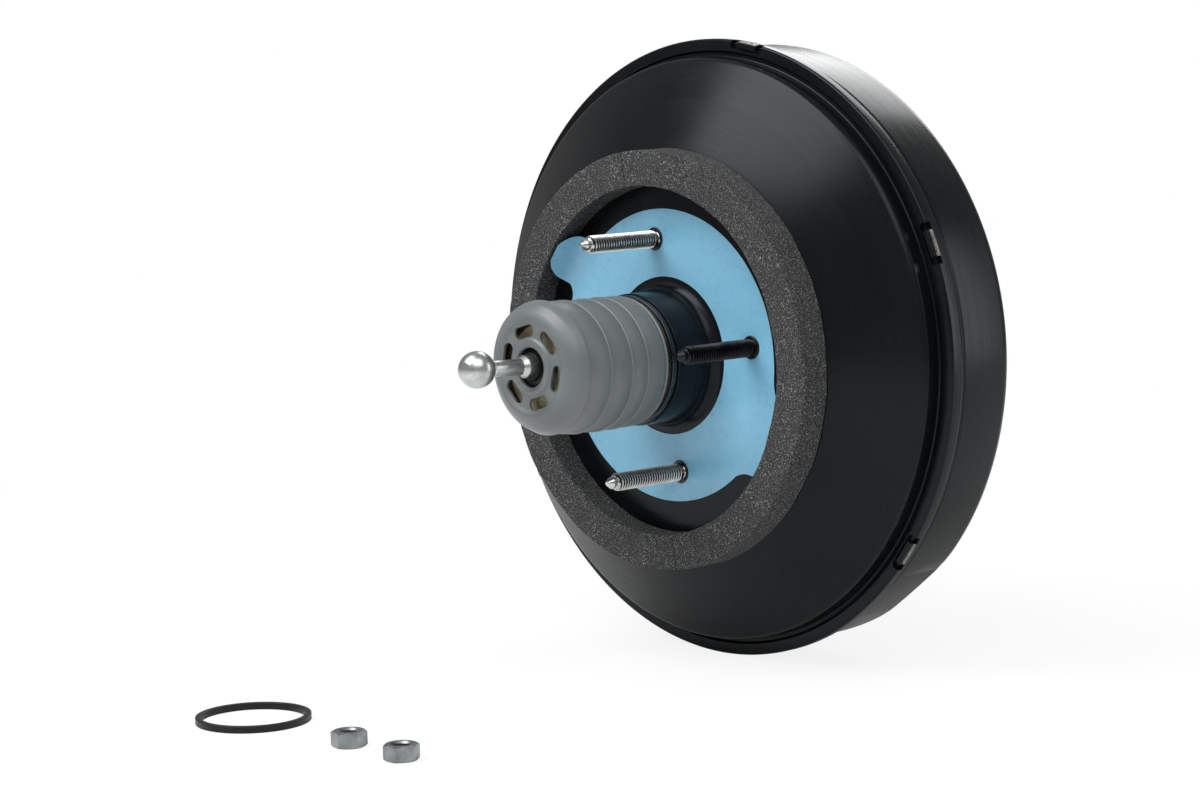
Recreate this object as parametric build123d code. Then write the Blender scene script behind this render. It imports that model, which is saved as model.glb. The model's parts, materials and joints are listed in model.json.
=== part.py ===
from build123d import *
import math
import os

# Vacuum brake booster, single diaphragm, tie bolt construction.
# Millimetres. The booster's axis is Y: -Y is the pedal side, +Y the master cylinder side, +Z is up.
# The origin is on the axis, in the rear mounting face.

# ---- fits and clearances ----
running_gap = 0.05          # radial, between parts that slide or turn in each other
soft_gap = 0.4              # between soft parts and parts of another body
stop_gap = 0.3              # left at a rest stop
bolt_hole_gap = 0.2         # radial, round a bolt or stud

# ---- shells ----
sheet = 1.6                 # pressed steel of both shells
neck_r = 29.4               # rear neck, outside
neck_length = 22.0          # neck end to mounting face
neck_root_radius = 6.0
plateau_r = 87.5            # where the flat mounting face meets the rear cone
plateau_bend = 30.0         # soft bend between them
cone_rise = 22.8            # rear cone, along the axis
shoulder_radius = 3.5
flange_step = 1.0           # raised edge of the rim flange
rim_r = 140.4               # outside of the rim
rim_flange = 8.2            # width of the rim's flange
rim_band = 5.7              # its outer part, beyond the raised edge
rim_y = 30.4                # rear face of the rim flange
rim_skirt = 4.6             # turned edge of the rim, along the axis
wall_r = rim_r - rim_flange
flange_step_r = rim_r - rim_band
cone_run = wall_r - plateau_r
drum_inset = 3.4            # front shell inside the rim
drum_lip_inset = 3.0
drum_r = rim_r - drum_inset
drum_lip_r = rim_r - drum_lip_inset
groove_y = 41.6             # rolled groove that holds the diaphragm bead
groove_depth = 0.7
groove_half_width = 1.6
drum_corner_y = 72.6        # where the drum wall meets the front cone
drum_corner_radius = 6.0
front_face_r = 66.0         # flat front mounting face
front_y = 98.0              # front mounting face
cylinder_bore_r = 24.6      # takes the spigot of the master cylinder
cylinder_bore_depth = 12.0
front_seal_hole_r = 13.0

# ---- rim clinching ----
clinch_count = 6
clinch_first_angle = 80.3
clinch_pitch = 58.3         # the wider last gap keys the two shells
clinch_window = 19.0        # along the rim
clinch_window_inset = 4.2   # floor of the window, inside the rim; it is open outwards
clinch_window_depth = 3.0   # down the skirt, from the flange's face
clinch_window_radius = 1.9
clinch_tab = 11.8
clinch_tab_inset = 2.95     # inner face of the staked tab, inside the rim
clinch_tab_rise = 0.5       # how far the staked tab stands proud of the flange
clinch_tab_gap = 0.1        # to the edge of the window and the rim's outside

# ---- pressed flat beside the rim, low on the drum ----
relief_angle = -52.0
relief_tilt = 40.0
relief_depth = 1.5

# ---- studs and tie bolts ----
stud_circle_r = 52.5
stud_first_angle = 97.0     # upper tie bolt, the others follow at quarter turns
stud_r = 4.0
stud_seat_r = 4.2           # plain seat inside the sheet and its plate
stud_length = 45.7          # beyond the rear mounting face
stud_point_length = 4.2
stud_point_r = 3.1
stud_tip_r = 1.2
stud_head_r = 9.0
stud_head_height = 3.4
tie_shank_r = 5.0
tie_collar_r = 9.0
tie_collar_height = 5.0
front_stud_length = 28.0
plate = 2.0                 # reinforcement plates
rear_plate_inner_r = 37.0
rear_plate_outer_r = 70.0
front_plate_inner_r = 27.0
front_plate_outer_r = 64.0
tie_seal_section_r = 1.0

# ---- neck guide ----
retainer_length = 11.0
retainer_r = 29.2
retainer_groove_r = 26.6
retainer_groove_width = 5.1
retainer_ring_y = -25.2      # rear face of the raised ring
retainer_ring_width = 2.2
guide_bush_length = 8.0
guide_seal_length = 6.0

# ---- valve body and what it holds ----
valve_r = 22.0
valve_wall = 1.8
valve_rear_y = -78.5
poppet_bore_r = 15.5
poppet_bore_y = -54.0       # rear end of the poppet bore
vacuum_seat_y = -30.9
plunger_r = 9.5
plunger_bore_end_y = 10.2
plunger_tip_r = 5.0
plunger_travel = 1.6
reaction_disc_r = 14.0
reaction_disc_y = 18.0
reaction_disc_height = 7.6
hub_y = 8.5                 # rear face of the hub flange
hub_r = 34.0
hub_height = 6.5
hub_boss_r = 20.0
rib_height = 2.8
rib_width = 2.0
hub_boss_end_y = 30.0
vacuum_passage_r = 2.2
key_y = 3.9
key_thickness = 2.5
key_width = 14.0
key_reach = 39.0
key_slot_play = 1.2
key_neck_r = 6.0
piston_stroke = 32.0

# ---- diaphragm and its plate ----
plate_sheet = 1.2
plate_flat_r = 66.0
plate_fold_room = 18.0      # between the plate and the drum, for the diaphragm's fold
plate_edge_r = drum_r - plate_fold_room
plate_edge_y = 23.0
plate_skirt_y = 43.0
plate_bends = (10, 6)
sleeve_r = 8.5
sleeve_height = 7.0
sleeve_groove_r = 7.0
diaphragm_thickness = 2.0
bead_height = 6.4

# ---- poppet, springs and filter ----
poppet_inner_r = 7.5
poppet_outer_r = 13.6
poppet_thickness = 2.0
insert_thickness = 0.8
poppet_lift = 0.8
poppet_sleeve_r = 14.9
poppet_sleeve_length = 10.0
poppet_retainer_bore_r = 8.6
poppet_retainer_height = 7.0
poppet_spring_r = 10.6
poppet_spring_wire = 0.8
rod_spring_r = 10.4
rod_spring_wire = 1.4
felt_recess = 2.0           # clear of the dust washer, which follows the rod
felt_length = 6.0
felt_hole_r = 10.6
silencer_length = 13.0
silencer_hole_r = 16.4

# ---- input rod ----
rod_pivot_y = -20.0
rod_tilt = 2.5              # the rod rests tilted up
rod_ball_y = -113.5
rod_ball_r = 8.0
rod_flat = 0.7              # flat on the ball's end
rod_shaft_r = 3.6
rod_shank_r = 5.15
rod_stem_r = 4.0
rod_neck_r = 3.2
rod_inner_ball_r = 5.2
rod_shank_rear_y = -86.0
rod_shank_front_y = -66.0
rod_cone_length = 5.5
cup_wall = 1.3
seat_washer_r = 10.4
seat_washer_thickness = 1.5
dust_washer_r = 11.0
dust_washer_y = -80.6
dust_washer_thickness = 0.7
dust_lip_wall = 0.75

# ---- output rod ----
output_head_thickness = 3.4
output_rod_r = 7.0
output_rod_end_y = 94.0
output_tip_r = 5.5
output_tip_y = 105.0
output_screw_r = 3.5
return_spring_r = 30.0
return_spring_wire = 3.6
return_spring_turns = 6

# ---- boot ----
boot_front_y = -27.5
boot_r = 29.3
boot_wall = 1.6
boot_valleys = (-39.5, -48.9, -61.4, -75.0)
boot_valley_depth = 1.1
boot_end_y = -84.0
boot_end_r = 20.4
boot_end_wall = 1.2
boot_end_recess = 1.6       # the slotted face lies below the end's rim
boot_end_lift = 2.3         # the end sits round the tilted rod
boot_hole_r = 8.7
boot_collar_r = 11.8
boot_collar_height = 1.3
boot_slot_count = 6
boot_slot_first_angle = 45.0
boot_slot_circle_r = 15.7
boot_slot_length = 12.0
boot_slot_width = 5.4

# ---- foam ring and film on the mounting face ----
foam_outer_r = 94.0
foam_width = 16.0
foam_inner_r = foam_outer_r - foam_width
foam_height = 12.4
foam_drop = 1.5             # the ring is glued on a little low
foam_seam_angle = 99.0
film = 0.25
film_outer_r = 65.8
film_inner_r = 35.5
film_stud_hole_r = 5.2
film_tab_angle = 144.0
film_tab_width = 25.0
film_tab_r = 75.0
film_fillet = 5.0

# ---- check valve on the front shell ----
valve_port_angle = 140.0
valve_port_inset = 39.0     # from the drum's outside to the port's axis
valve_port_r = drum_r - valve_port_inset
turret_r = 17.0
turret_y = 91.0
grommet_flange_r = 12.5
grommet_hole_r = 9.0
grommet_flange = 2.0
check_stem_r = 6.4
check_stem_bore_r = 3.2
check_body_r = 11.0
check_cavity_r = 8.0
check_body_length = 17.0
check_floor = 2.0
check_disc_r = 6.8
check_disc_thickness = 2.0
check_lift = 1.5
check_spring_r = 5.0
check_spring_wire = 0.6
hose_barb_r = 5.0
hose_barb_bore_r = 3.0
hose_barb_length = 28.0
hose_barb_ridge = 0.9

# ---- loose kit, laid beside the booster on the plane it would stand on ----
floor_z = -rim_r
seal_ring_r = 24.5
seal_ring_bore_r = 22.0
seal_ring_height = 3.0
seal_ring_place = (-53.2, -198.2)
nut_places = ((15.1, -201.2), (50.1, -202.7))
nut_turns = (47.0, 62.0)
nut_width = 13.0
nut_height = 6.6
nut_bore_r = 3.35
nut_chamfer = 0.9


def around_axis(points):
    """Solid turned about the booster's axis from a closed outline of (radius, y) points."""
    return revolve(make_face(Polyline(*points, close=True)), Axis.Y)


def tube(outer, inner, start, end):
    """Plain ring or, with inner 0, a disc."""
    return around_axis([(inner, start), (outer, start), (outer, end), (inner, end)])


def sheet_inside(points, radii, thickness):
    """Corners and bend radii of the other face of a sheet, on the left of its line."""
    ways = [(Vector(b) - Vector(a)).normalized() for a, b in zip(points, points[1:])]
    lefts = [Vector(-way.Y, way.X) for way in ways]
    inside = [Vector(points[0]) + lefts[0] * thickness]
    bends = []
    for corner, radius, before, after in zip(points[1:], radii, range(len(ways)), range(1, len(ways))):
        left = lefts[before] + lefts[after]
        inside.append(Vector(corner) + left * (thickness / (1 + lefts[before].dot(lefts[after]))))
        turns_left = ways[before].cross(ways[after]).Z > 0
        bends.append(max(radius - thickness, 0) if turns_left else radius + thickness)
    inside.append(Vector(points[-1]) + lefts[-1] * thickness)
    return inside, bends


def pressed_sheet(points, radii, thickness):
    """Sheet metal turned about the axis: the outer line, thickened towards the inside."""
    inside, bends = sheet_inside(points, radii, thickness)
    outer = FilletPolyline(*points, radius=radii)
    inner = FilletPolyline(*inside, radius=bends)
    start = Line(points[0], inside[0])
    end = Line(points[-1], inside[-1])
    section = make_face(outer.edges() + inner.edges() + [start.edge(), end.edge()])
    return revolve(section, Axis.Y)


def place(angle, radius):
    """Location at an angle and radius round the axis, in the XZ plane."""
    turn = math.radians(angle)
    return Pos(radius * math.cos(turn), 0, radius * math.sin(turn))


def turned(angle):
    """Rotation that carries +X to the given angle round the axis."""
    return Rot(0, -angle, 0)


def save(shape, name):
    export_step(shape, f"parts/{name}.step")


def coil(radius, wire, start, end, turns):
    """Coil spring along the axis with closed end turns."""
    low = start + wire / 2
    high = end - wire / 2
    closed_rise = wire * 1.1
    free = high - low - 2 * closed_rise
    along = (0, 1, 0)
    first = Helix(closed_rise, closed_rise, radius, center=(0, low, 0), direction=along)
    middle = Helix(
        free / turns, free, radius, center=(0, low + closed_rise, 0), direction=along
    )
    last = Helix(
        closed_rise, closed_rise, radius, center=(0, high - closed_rise, 0), direction=along
    )
    path = Wire([first.edge(), middle.edge(), last.edge()])
    section = Plane(origin=path @ 0, z_dir=path % 0) * Circle(wire / 2)
    return sweep(section, path=path, is_frenet=True, transition=Transition.TRANSFORMED)


# ---- derived places ----
drum_inner_r = drum_r - sheet
cone_slope = cone_rise / cone_run
front_slope = (front_y - drum_corner_y) / (drum_r - front_face_r)
front_inner_y = front_y - sheet
rib_end_r = return_spring_r - return_spring_wire / 2 - 0.5
rear_plate_y = sheet + plate
stud_angles = [stud_first_angle + quarter * 90 for quarter in range(4)]
tie_angles = stud_angles[0::2]
pressed_angles = stud_angles[1::2]
clinch_angles = [clinch_first_angle - step * clinch_pitch for step in range(clinch_count)]
stud_hole_r = stud_seat_r + bolt_hole_gap


def stud_holes(angles, start, end, radius=stud_hole_r):
    holes = [place(angle, stud_circle_r) * tube(radius, 0, start, end) for angle in angles]
    return Part() + holes


rear_line = [
    (neck_r, -neck_length),
    (neck_r, 0),
    (plateau_r, 0),
    (wall_r, cone_rise),
    (wall_r, rim_y + flange_step),
    (flange_step_r - flange_step / 2, rim_y + flange_step),
    (flange_step_r + flange_step / 2, rim_y),
    (rim_r, rim_y),
    (rim_r, rim_y + rim_skirt),
]
rear_bends = (neck_root_radius, plateau_bend, shoulder_radius, 0.9, 0.5, 0.5, 1.2)


def behind_rear_shell():
    """Everything on the chamber side of the rear shell's outer face."""
    line = FilletPolyline(*rear_line, radius=rear_bends)
    back = Polyline(rear_line[-1], (0, rim_y + rim_skirt), (0, -neck_length), rear_line[0])
    return revolve(make_face(line.edges() + back.edges()), Axis.Y)


def rear_shell():
    """Rear half: neck, flat mounting face, cone and the rim that the other half is clinched in."""
    shell = pressed_sheet(rear_line, rear_bends, sheet)
    shell -= stud_holes(stud_angles, -1, sheet + 1)
    window_reach = clinch_window_inset + 2
    window_height = clinch_window_depth + 1
    window_middle = rim_r - clinch_window_inset + window_reach / 2
    window = Pos(window_middle, rim_y - 1 + window_height / 2, 0) * Box(
        window_reach, window_height, clinch_window
    )
    floor_corners = window.edges().filter_by(Axis.Y).group_by(Axis.X)[0]
    window = fillet(floor_corners, clinch_window_radius)
    for angle in clinch_angles:
        shell -= turned(angle) * window
    return shell


def front_shell_line():
    lip_end = rim_y + sheet
    return [
        (rim_r - sheet - running_gap, lip_end),
        (rim_r - sheet - running_gap, lip_end + 2.0),
        (drum_lip_r, lip_end + 3.6),
        (drum_lip_r, groove_y - groove_half_width),
        (drum_lip_r - groove_depth, groove_y),
        (drum_r, groove_y + groove_half_width),
        (drum_r, drum_corner_y),
        (front_face_r, front_y),
        (cylinder_bore_r, front_y),
        (cylinder_bore_r, front_y - cylinder_bore_depth),
        (front_seal_hole_r, front_y - cylinder_bore_depth),
    ]


def front_shell():
    line = front_shell_line()
    radii = [1.0, 1.5, 0.8, 0.8, 0.8, drum_corner_radius, 12, 1.8, 1.2]
    shell = pressed_sheet(line, radii, sheet)
    inside = around_axis(
        [
            (0, rim_y),
            (drum_inner_r, rim_y),
            (drum_inner_r, drum_corner_y - sheet * 0.6),
            (front_face_r, front_y - sheet * 1.06),
            (0, front_y - sheet * 1.06),
        ]
    )
    # flat pressed into the corner of the drum
    flat_size = 90
    away = drum_r * math.cos(math.radians(relief_tilt)) + drum_corner_y * math.sin(
        math.radians(relief_tilt)
    )
    reach = away - drum_corner_radius * 0.35 - relief_depth
    facing = turned(relief_angle) * Rot(0, 0, relief_tilt)
    cutter = facing * Pos(reach + flat_size / 2, 0, 0) * Box(flat_size, flat_size, flat_size)
    skin = facing * Pos(reach - sheet / 2, 0, 0) * Box(sheet, flat_size, flat_size)
    solid_drum = around_axis(
        [
            (0, groove_y + groove_half_width),
            (drum_r, groove_y + groove_half_width),
            (drum_r, drum_corner_y - 2.0),
            (drum_r - 4.0, drum_corner_y + 1.2),
            (front_face_r, front_y - 1.0),
            (0, front_y - 1.0),
        ]
    )
    shell = (shell - cutter) + (skin & solid_drum)
    # turret of the check valve
    port = place(valve_port_angle, valve_port_r)
    turret = port * (
        tube(turret_r, turret_r - sheet, 60, turret_y) + tube(turret_r, 0, turret_y - sheet, turret_y)
    )
    shell = shell - port * tube(turret_r - sheet, 0, 60, turret_y - sheet)
    shell = shell + (turret - inside)
    shell -= port * tube(grommet_hole_r, 0, 60, turret_y + 1)
    shell -= stud_holes(tie_angles, front_inner_y - 1, front_y + 1)
    # tabs of the open end, staked outwards into the windows of the rear shell's rim
    tab_outer_r = rim_r - clinch_tab_gap
    tab_low = rim_y - clinch_tab_rise
    tab_high = rim_y + clinch_window_depth - clinch_tab_gap
    profile = Polyline(
        (rim_r - clinch_tab_inset, tab_high),
        (rim_r - clinch_tab_inset, tab_low),
        (tab_outer_r - 0.6, tab_low),
        (tab_outer_r, tab_low + 0.6),
        (tab_outer_r, tab_high),
        close=True,
    )
    arc = math.degrees(clinch_tab / tab_outer_r)
    tab = revolve(make_face(profile), Axis.Y, revolution_arc=arc)
    for angle in clinch_angles:
        shell += turned(angle + arc / 2) * tab
    return shell


def rear_plate():
    ring = tube(rear_plate_outer_r, rear_plate_inner_r, sheet, rear_plate_y)
    rims = ring.edges().filter_by(GeomType.CIRCLE).group_by(SortBy.RADIUS)[-1]
    ring = chamfer(rims.group_by(Axis.Y)[-1], 0.6)
    return ring - stud_holes(stud_angles, 0, rear_plate_y + 1)


def front_plate():
    low = front_inner_y - plate
    ring = tube(front_plate_outer_r, front_plate_inner_r, low, front_inner_y)
    return ring - stud_holes(tie_angles, low - 1, front_inner_y + 1)


def stud_outline(shoulder_y):
    """Rear end shared by studs and tie bolts: seat, thread, grooved neck and cone point."""
    point = -stud_length + stud_point_length
    return [
        (0, -stud_length),
        (stud_tip_r, -stud_length),
        (stud_point_r, -stud_length + 2.6),
        (stud_point_r - 0.5, -stud_length + 3.0),
        (stud_point_r - 0.5, point - 0.4),
        (stud_r, point + 0.6),
        (stud_r, 0),
        (stud_seat_r, 0),
        (stud_seat_r, shoulder_y),
    ]


def mounting_studs():
    head = rear_plate_y
    outline = stud_outline(head) + [
        (stud_head_r, head),
        (stud_head_r, head + stud_head_height - 0.8),
        (stud_head_r - 0.8, head + stud_head_height),
        (0, head + stud_head_height),
    ]
    stud = around_axis(outline)
    return Compound([place(angle, stud_circle_r) * stud for angle in pressed_angles])


def tie_bolts():
    back = rear_plate_y
    front = front_inner_y - plate
    end = front_y + front_stud_length
    outline = stud_outline(back) + [
        (tie_collar_r, back),
        (tie_collar_r, back + tie_collar_height),
        (tie_shank_r, back + tie_collar_height + 1),
        (tie_shank_r, front - tie_collar_height - 1),
        (tie_collar_r, front - tie_collar_height),
        (tie_collar_r, front),
        (stud_seat_r, front),
        (stud_seat_r, front_y),
        (stud_r, front_y),
        (stud_r, end - 1.2),
        (stud_r - 1.2, end),
        (0, end),
    ]
    bolt = around_axis(outline)
    groove_r = tie_collar_r - 2.5
    for seat, side in ((back, 1), (front, -1)):
        bolt -= tube(groove_r + tie_seal_section_r, groove_r - tie_seal_section_r, seat, seat + side * 1.6)
    return Compound([place(angle, stud_circle_r) * bolt for angle in tie_angles])


def tie_bolt_seals():
    groove_r = tie_collar_r - 2.5
    front = front_inner_y - plate
    rings = []
    for angle in tie_angles:
        for low in (rear_plate_y, front - 1.6):
            ring = tube(groove_r + tie_seal_section_r, groove_r - tie_seal_section_r, low, low + 1.6)
            rings.append(place(angle, stud_circle_r) * ring)
    return Compound(rings)


neck_bore_r = neck_r - sheet
bush_end_y = -neck_length + 2.0 + guide_bush_length
groove_top_y = -neck_length - retainer_length


def neck_retainer():
    rear = groove_top_y
    return around_axis(
        [
            (valve_r + soft_gap, rear),
            (retainer_r - 1.5, rear),
            (retainer_r - 1.5, rear + 1.0),
            (retainer_groove_r, rear + 1.0),
            (retainer_groove_r, rear + 1.0 + retainer_groove_width),
            (retainer_r - 1.8, rear + 1.2 + retainer_groove_width),
            (retainer_r - 1.8, retainer_ring_y - 0.4),
            (retainer_r - 0.3, retainer_ring_y),
            (retainer_r - 0.3, retainer_ring_y + retainer_ring_width),
            (retainer_r - 1.0, retainer_ring_y + retainer_ring_width + 0.4),
            (retainer_r - 1.0, -neck_length),
            (neck_bore_r, -neck_length),
            (neck_bore_r, -neck_length + 2.0),
            (valve_r + soft_gap, -neck_length + 2.0),
        ]
    )


def guide_bush():
    bush = tube(neck_bore_r, valve_r + running_gap, -neck_length + 2.0, bush_end_y)
    slot = Pos(valve_r + running_gap, (bush_end_y - neck_length + 2.0) / 2, 0) * Box(
        1.6, guide_bush_length + 1, 2.4
    )
    for step in range(8):
        bush -= turned(22.5 + step * 45) * slot
    return bush


def guide_seal():
    low = bush_end_y
    high = low + guide_seal_length
    lip = valve_r + running_gap
    return around_axis(
        [
            (neck_bore_r, low),
            (neck_bore_r, high),
            (neck_bore_r - 1.4, high),
            (neck_bore_r - 1.8, low + 2.0),
            (lip + 1.6, low + 2.0),
            (lip + 1.3, high - 0.6),
            (lip, high - 0.6),
            (lip, high - 2.2),
            (lip + 0.8, low),
        ]
    )


def poppet_seat_channels():
    """Vacuum passages from the poppet chamber to the front of the hub."""
    middle_r = (poppet_bore_r + plunger_r + running_gap) / 2 + 0.3
    drill = place(0, middle_r) * tube(vacuum_passage_r, 0, vacuum_seat_y - 2, hub_y + hub_height + 1)
    return Part() + [turned(step * 60) * drill for step in (0, 1, 2, 3, 4, 5) if step not in (1, 4)]


def valve_body():
    bore = valve_r - valve_wall
    seat_r = poppet_inner_r + 4.2
    plunger_bore = plunger_r + running_gap
    hub_front = hub_y + hub_height
    body = around_axis(
        [
            (bore, valve_rear_y),
            (valve_r, valve_rear_y),
            (valve_r, hub_y),
            (hub_r, hub_y),
            (hub_r, hub_front),
            (hub_boss_r, hub_front),
            (hub_boss_r, hub_boss_end_y),
            (reaction_disc_r + running_gap, hub_boss_end_y),
            (reaction_disc_r + running_gap, reaction_disc_y),
            (plunger_tip_r + running_gap, reaction_disc_y),
            (plunger_tip_r + running_gap, plunger_bore_end_y),
            (plunger_bore, plunger_bore_end_y),
            (plunger_bore, vacuum_seat_y),
            (seat_r - 0.9, vacuum_seat_y),
            (seat_r, vacuum_seat_y + 1.0),
            (poppet_bore_r, vacuum_seat_y + 1.0),
            (poppet_bore_r, poppet_bore_y),
            (bore, poppet_bore_y),
        ]
    )
    body -= poppet_seat_channels()
    slot_height = key_thickness + key_slot_play
    slot = Pos(0, key_y - stop_gap + slot_height / 2, 0) * Box(
        key_width + 0.4, slot_height, 2 * valve_r + 10
    )
    body -= slot
    # ribs of the moulded hub
    rib_start_r = hub_boss_r - rib_width
    rib = Pos((rib_start_r + rib_end_r) / 2, hub_front + rib_height / 2 - 1, 0) * Box(
        rib_end_r - rib_start_r, rib_height + 2, rib_width
    )
    for step in range(12):
        body += turned(step * 30 + 15) * rib
    return body


def stop_key():
    """Flat fork that drops into the plunger's groove and stops against the rear shell."""
    middle = key_y + key_thickness / 2
    blade = Pos(0, middle, 0) * Box(key_width, key_thickness, 2 * key_reach)
    slot_r = key_neck_r + 0.2
    mouth = Pos(0, middle, -key_reach / 2) * Box(2 * slot_r, key_thickness + 1, key_reach)
    blade -= mouth & (Pos(0, middle, 0) * Box(200, 9, 2 * (valve_r - 3)))
    blade -= tube(slot_r, 0, key_y - 1, key_y + key_thickness + 1)
    return fillet(blade.edges().filter_by(Axis.Y).group_by(Axis.Z)[-1], 3.0)


def plate_line(inner_r):
    low = hub_y + hub_height
    return [
        (inner_r, low),
        (plate_flat_r, low),
        (plate_edge_r, plate_edge_y),
        (plate_edge_r, plate_skirt_y),
    ]


def diaphragm_plate():
    low = hub_y + hub_height
    pressing = pressed_sheet(plate_line(hub_boss_r + running_gap), plate_bends, plate_sheet)
    for step in range(12):
        rib_slot = Pos((hub_boss_r + rib_end_r) / 2, low, 0) * Box(
            rib_end_r - hub_boss_r + 0.4, 3 * plate_sheet, rib_width + 0.4
        )
        pressing -= turned(step * 30 + 15) * rib_slot
    return pressing - stud_holes(tie_angles, low - 5, low + 5, sleeve_groove_r)


def plate_lock_ring():
    """Toothed ring that holds the plate on the hub boss."""
    low = hub_y + hub_height + plate_sheet
    ring = tube(hub_boss_r + 3.6, hub_boss_r, low + 1.8, low + 2.8)
    for step in range(8):
        ring -= turned(step * 45) * Pos(hub_boss_r + 3.6, low + 2, 0) * Box(3.0, 4, 3.0)
    return ring


def bolt_sleeves():
    middle = hub_y + hub_height + plate_sheet / 2
    half = plate_sheet / 2
    low = middle - sleeve_height / 2
    high = middle + sleeve_height / 2
    sleeve = around_axis(
        [
            (tie_shank_r + running_gap, low),
            (sleeve_r, low),
            (sleeve_r, middle - half),
            (sleeve_groove_r, middle - half),
            (sleeve_groove_r, middle + half),
            (sleeve_r, middle + half),
            (sleeve_r - 1, high),
            (tie_shank_r + running_gap, high),
        ]
    )
    return Compound([place(angle, stud_circle_r) * sleeve for angle in tie_angles])


def diaphragm():
    """Rubber rolling diaphragm: bead in the rim, fold over the plate's skirt, web behind the plate."""
    standoff = soft_gap + diaphragm_thickness
    web_corners, web_bends = sheet_inside(plate_line(hub_r + soft_gap), plate_bends, -standoff)
    edge_r = plate_edge_r + standoff
    outer_r = drum_inner_r - diaphragm_thickness - soft_gap
    fold_r = (outer_r - edge_r) / 2
    bead_y = rim_y + flange_step + sheet
    line = web_corners[:3] + [
        Vector(edge_r, plate_skirt_y + fold_r),
        Vector(outer_r, plate_skirt_y + fold_r),
        Vector(outer_r, bead_y + 1.0),
    ]
    bends = web_bends + [fold_r * 0.98, fold_r * 0.98]
    web = pressed_sheet(line, bends, diaphragm_thickness)
    bead = tube(drum_inner_r - soft_gap, wall_r - sheet + soft_gap, bead_y, bead_y + bead_height)
    holes = stud_holes(tie_angles, hub_y - 5, hub_y + hub_height, sleeve_r + soft_gap)
    return (web + bead) - holes


def poppet():
    face = vacuum_seat_y - poppet_lift - 0.1
    back = face - poppet_thickness
    tail = back - poppet_sleeve_length
    return around_axis(
        [
            (poppet_inner_r, face),
            (poppet_outer_r - 0.6, face),
            (poppet_outer_r, face - 0.6),
            (poppet_outer_r, back - 1.0),
            (poppet_sleeve_r, back - 4.0),
            (poppet_sleeve_r, tail),
            (poppet_sleeve_r - 1.2, tail),
            (poppet_sleeve_r - 1.2, back - 4.4),
            (poppet_outer_r - 1.2, back - 1.6),
            (poppet_outer_r - 1.2, back),
            (poppet_inner_r, back),
        ]
    )


def poppet_insert():
    back = vacuum_seat_y - poppet_lift - 0.1 - poppet_thickness
    return tube(poppet_outer_r - 1.3, poppet_inner_r + 0.4, back - insert_thickness, back)


retainer_front_y = poppet_bore_y + poppet_retainer_height


def poppet_retainer():
    return around_axis(
        [
            (poppet_retainer_bore_r, poppet_bore_y),
            (poppet_bore_r, poppet_bore_y),
            (poppet_bore_r, retainer_front_y - 4.0),
            (poppet_spring_r + 1.6, retainer_front_y - 4.0),
            (poppet_spring_r + 1.6, retainer_front_y - 5.0),
            (poppet_retainer_bore_r, retainer_front_y - 5.0),
        ]
    )


def poppet_spring():
    back = vacuum_seat_y - poppet_lift - 0.1 - poppet_thickness - insert_thickness
    return coil(poppet_spring_r, poppet_spring_wire, retainer_front_y - 5.0, back, 4)


def plunger():
    rear = vacuum_seat_y - poppet_lift + 0.2
    socket_r = rod_inner_ball_r + running_gap + cup_wall + running_gap
    key_front = key_y + key_thickness + 0.2
    key_back = key_y - plunger_travel - 0.1
    shoulder = plunger_bore_end_y - plunger_travel - 0.2
    tip = reaction_disc_y - plunger_travel - 0.1
    body = around_axis(
        [
            (0, rear),
            (plunger_r - 0.8, rear),
            (plunger_r, rear + 0.8),
            (plunger_r, key_back),
            (key_neck_r, key_back),
            (key_neck_r, key_front),
            (plunger_r, key_front),
            (plunger_r, shoulder),
            (plunger_tip_r, shoulder),
            (plunger_tip_r, tip - 0.6),
            (plunger_tip_r - 0.6, tip),
            (0, tip),
        ]
    )
    body -= tube(socket_r, 0, rear - 1, rod_pivot_y)
    body -= Pos(0, rod_pivot_y, 0) * Sphere(socket_r)
    return body


def ball_cup():
    """Moulded half shell between the rod's inner ball and the plunger."""
    inner = rod_inner_ball_r + running_gap
    cup = Pos(0, rod_pivot_y, 0) * (Sphere(inner + cup_wall) - Sphere(inner))
    lip = 2.4
    return cup & tube(30, 0, rod_pivot_y - lip, rod_pivot_y + 20)


def tilted(shape):
    """Carry a piece of the input rod from the axis to its rest position."""
    return Pos(0, rod_pivot_y, 0) * Rot(-rod_tilt, 0, 0) * Pos(0, -rod_pivot_y, 0) * shape


def input_rod():
    shaft = around_axis(
        [
            (0, rod_ball_y),
            (rod_neck_r, rod_ball_y),
            (rod_neck_r, rod_ball_y + rod_ball_r),
            (rod_shaft_r, rod_ball_y + rod_ball_r + 1.0),
            (rod_shaft_r, rod_shank_rear_y - rod_cone_length),
            (rod_shank_r - 0.3, rod_shank_rear_y - 0.6),
            (rod_shank_r, rod_shank_rear_y),
            (rod_shank_r, rod_shank_front_y - 0.6),
            (rod_stem_r, rod_shank_front_y),
            (rod_stem_r, rod_pivot_y - rod_inner_ball_r - 2.6),
            (rod_neck_r, rod_pivot_y - rod_inner_ball_r - 1.2),
            (rod_neck_r, rod_pivot_y),
            (0, rod_pivot_y),
        ]
    )
    ball = Pos(0, rod_ball_y, 0) * Sphere(rod_ball_r)
    ball &= tube(30, 0, rod_ball_y - rod_ball_r + rod_flat, rod_ball_y + 30)
    inner_ball = Pos(0, rod_pivot_y, 0) * Sphere(rod_inner_ball_r)
    return tilted(shaft + ball + inner_ball)


seat_washer_y = rod_shank_front_y - seat_washer_thickness - 2.0


def spring_seat():
    return tilted(
        tube(seat_washer_r, rod_shank_r, seat_washer_y, seat_washer_y + seat_washer_thickness)
    )


def rod_spring():
    low = seat_washer_y + seat_washer_thickness + 0.6
    return coil(rod_spring_r - 0.9, rod_spring_wire, low, poppet_bore_y - 0.1, 3)


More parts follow.
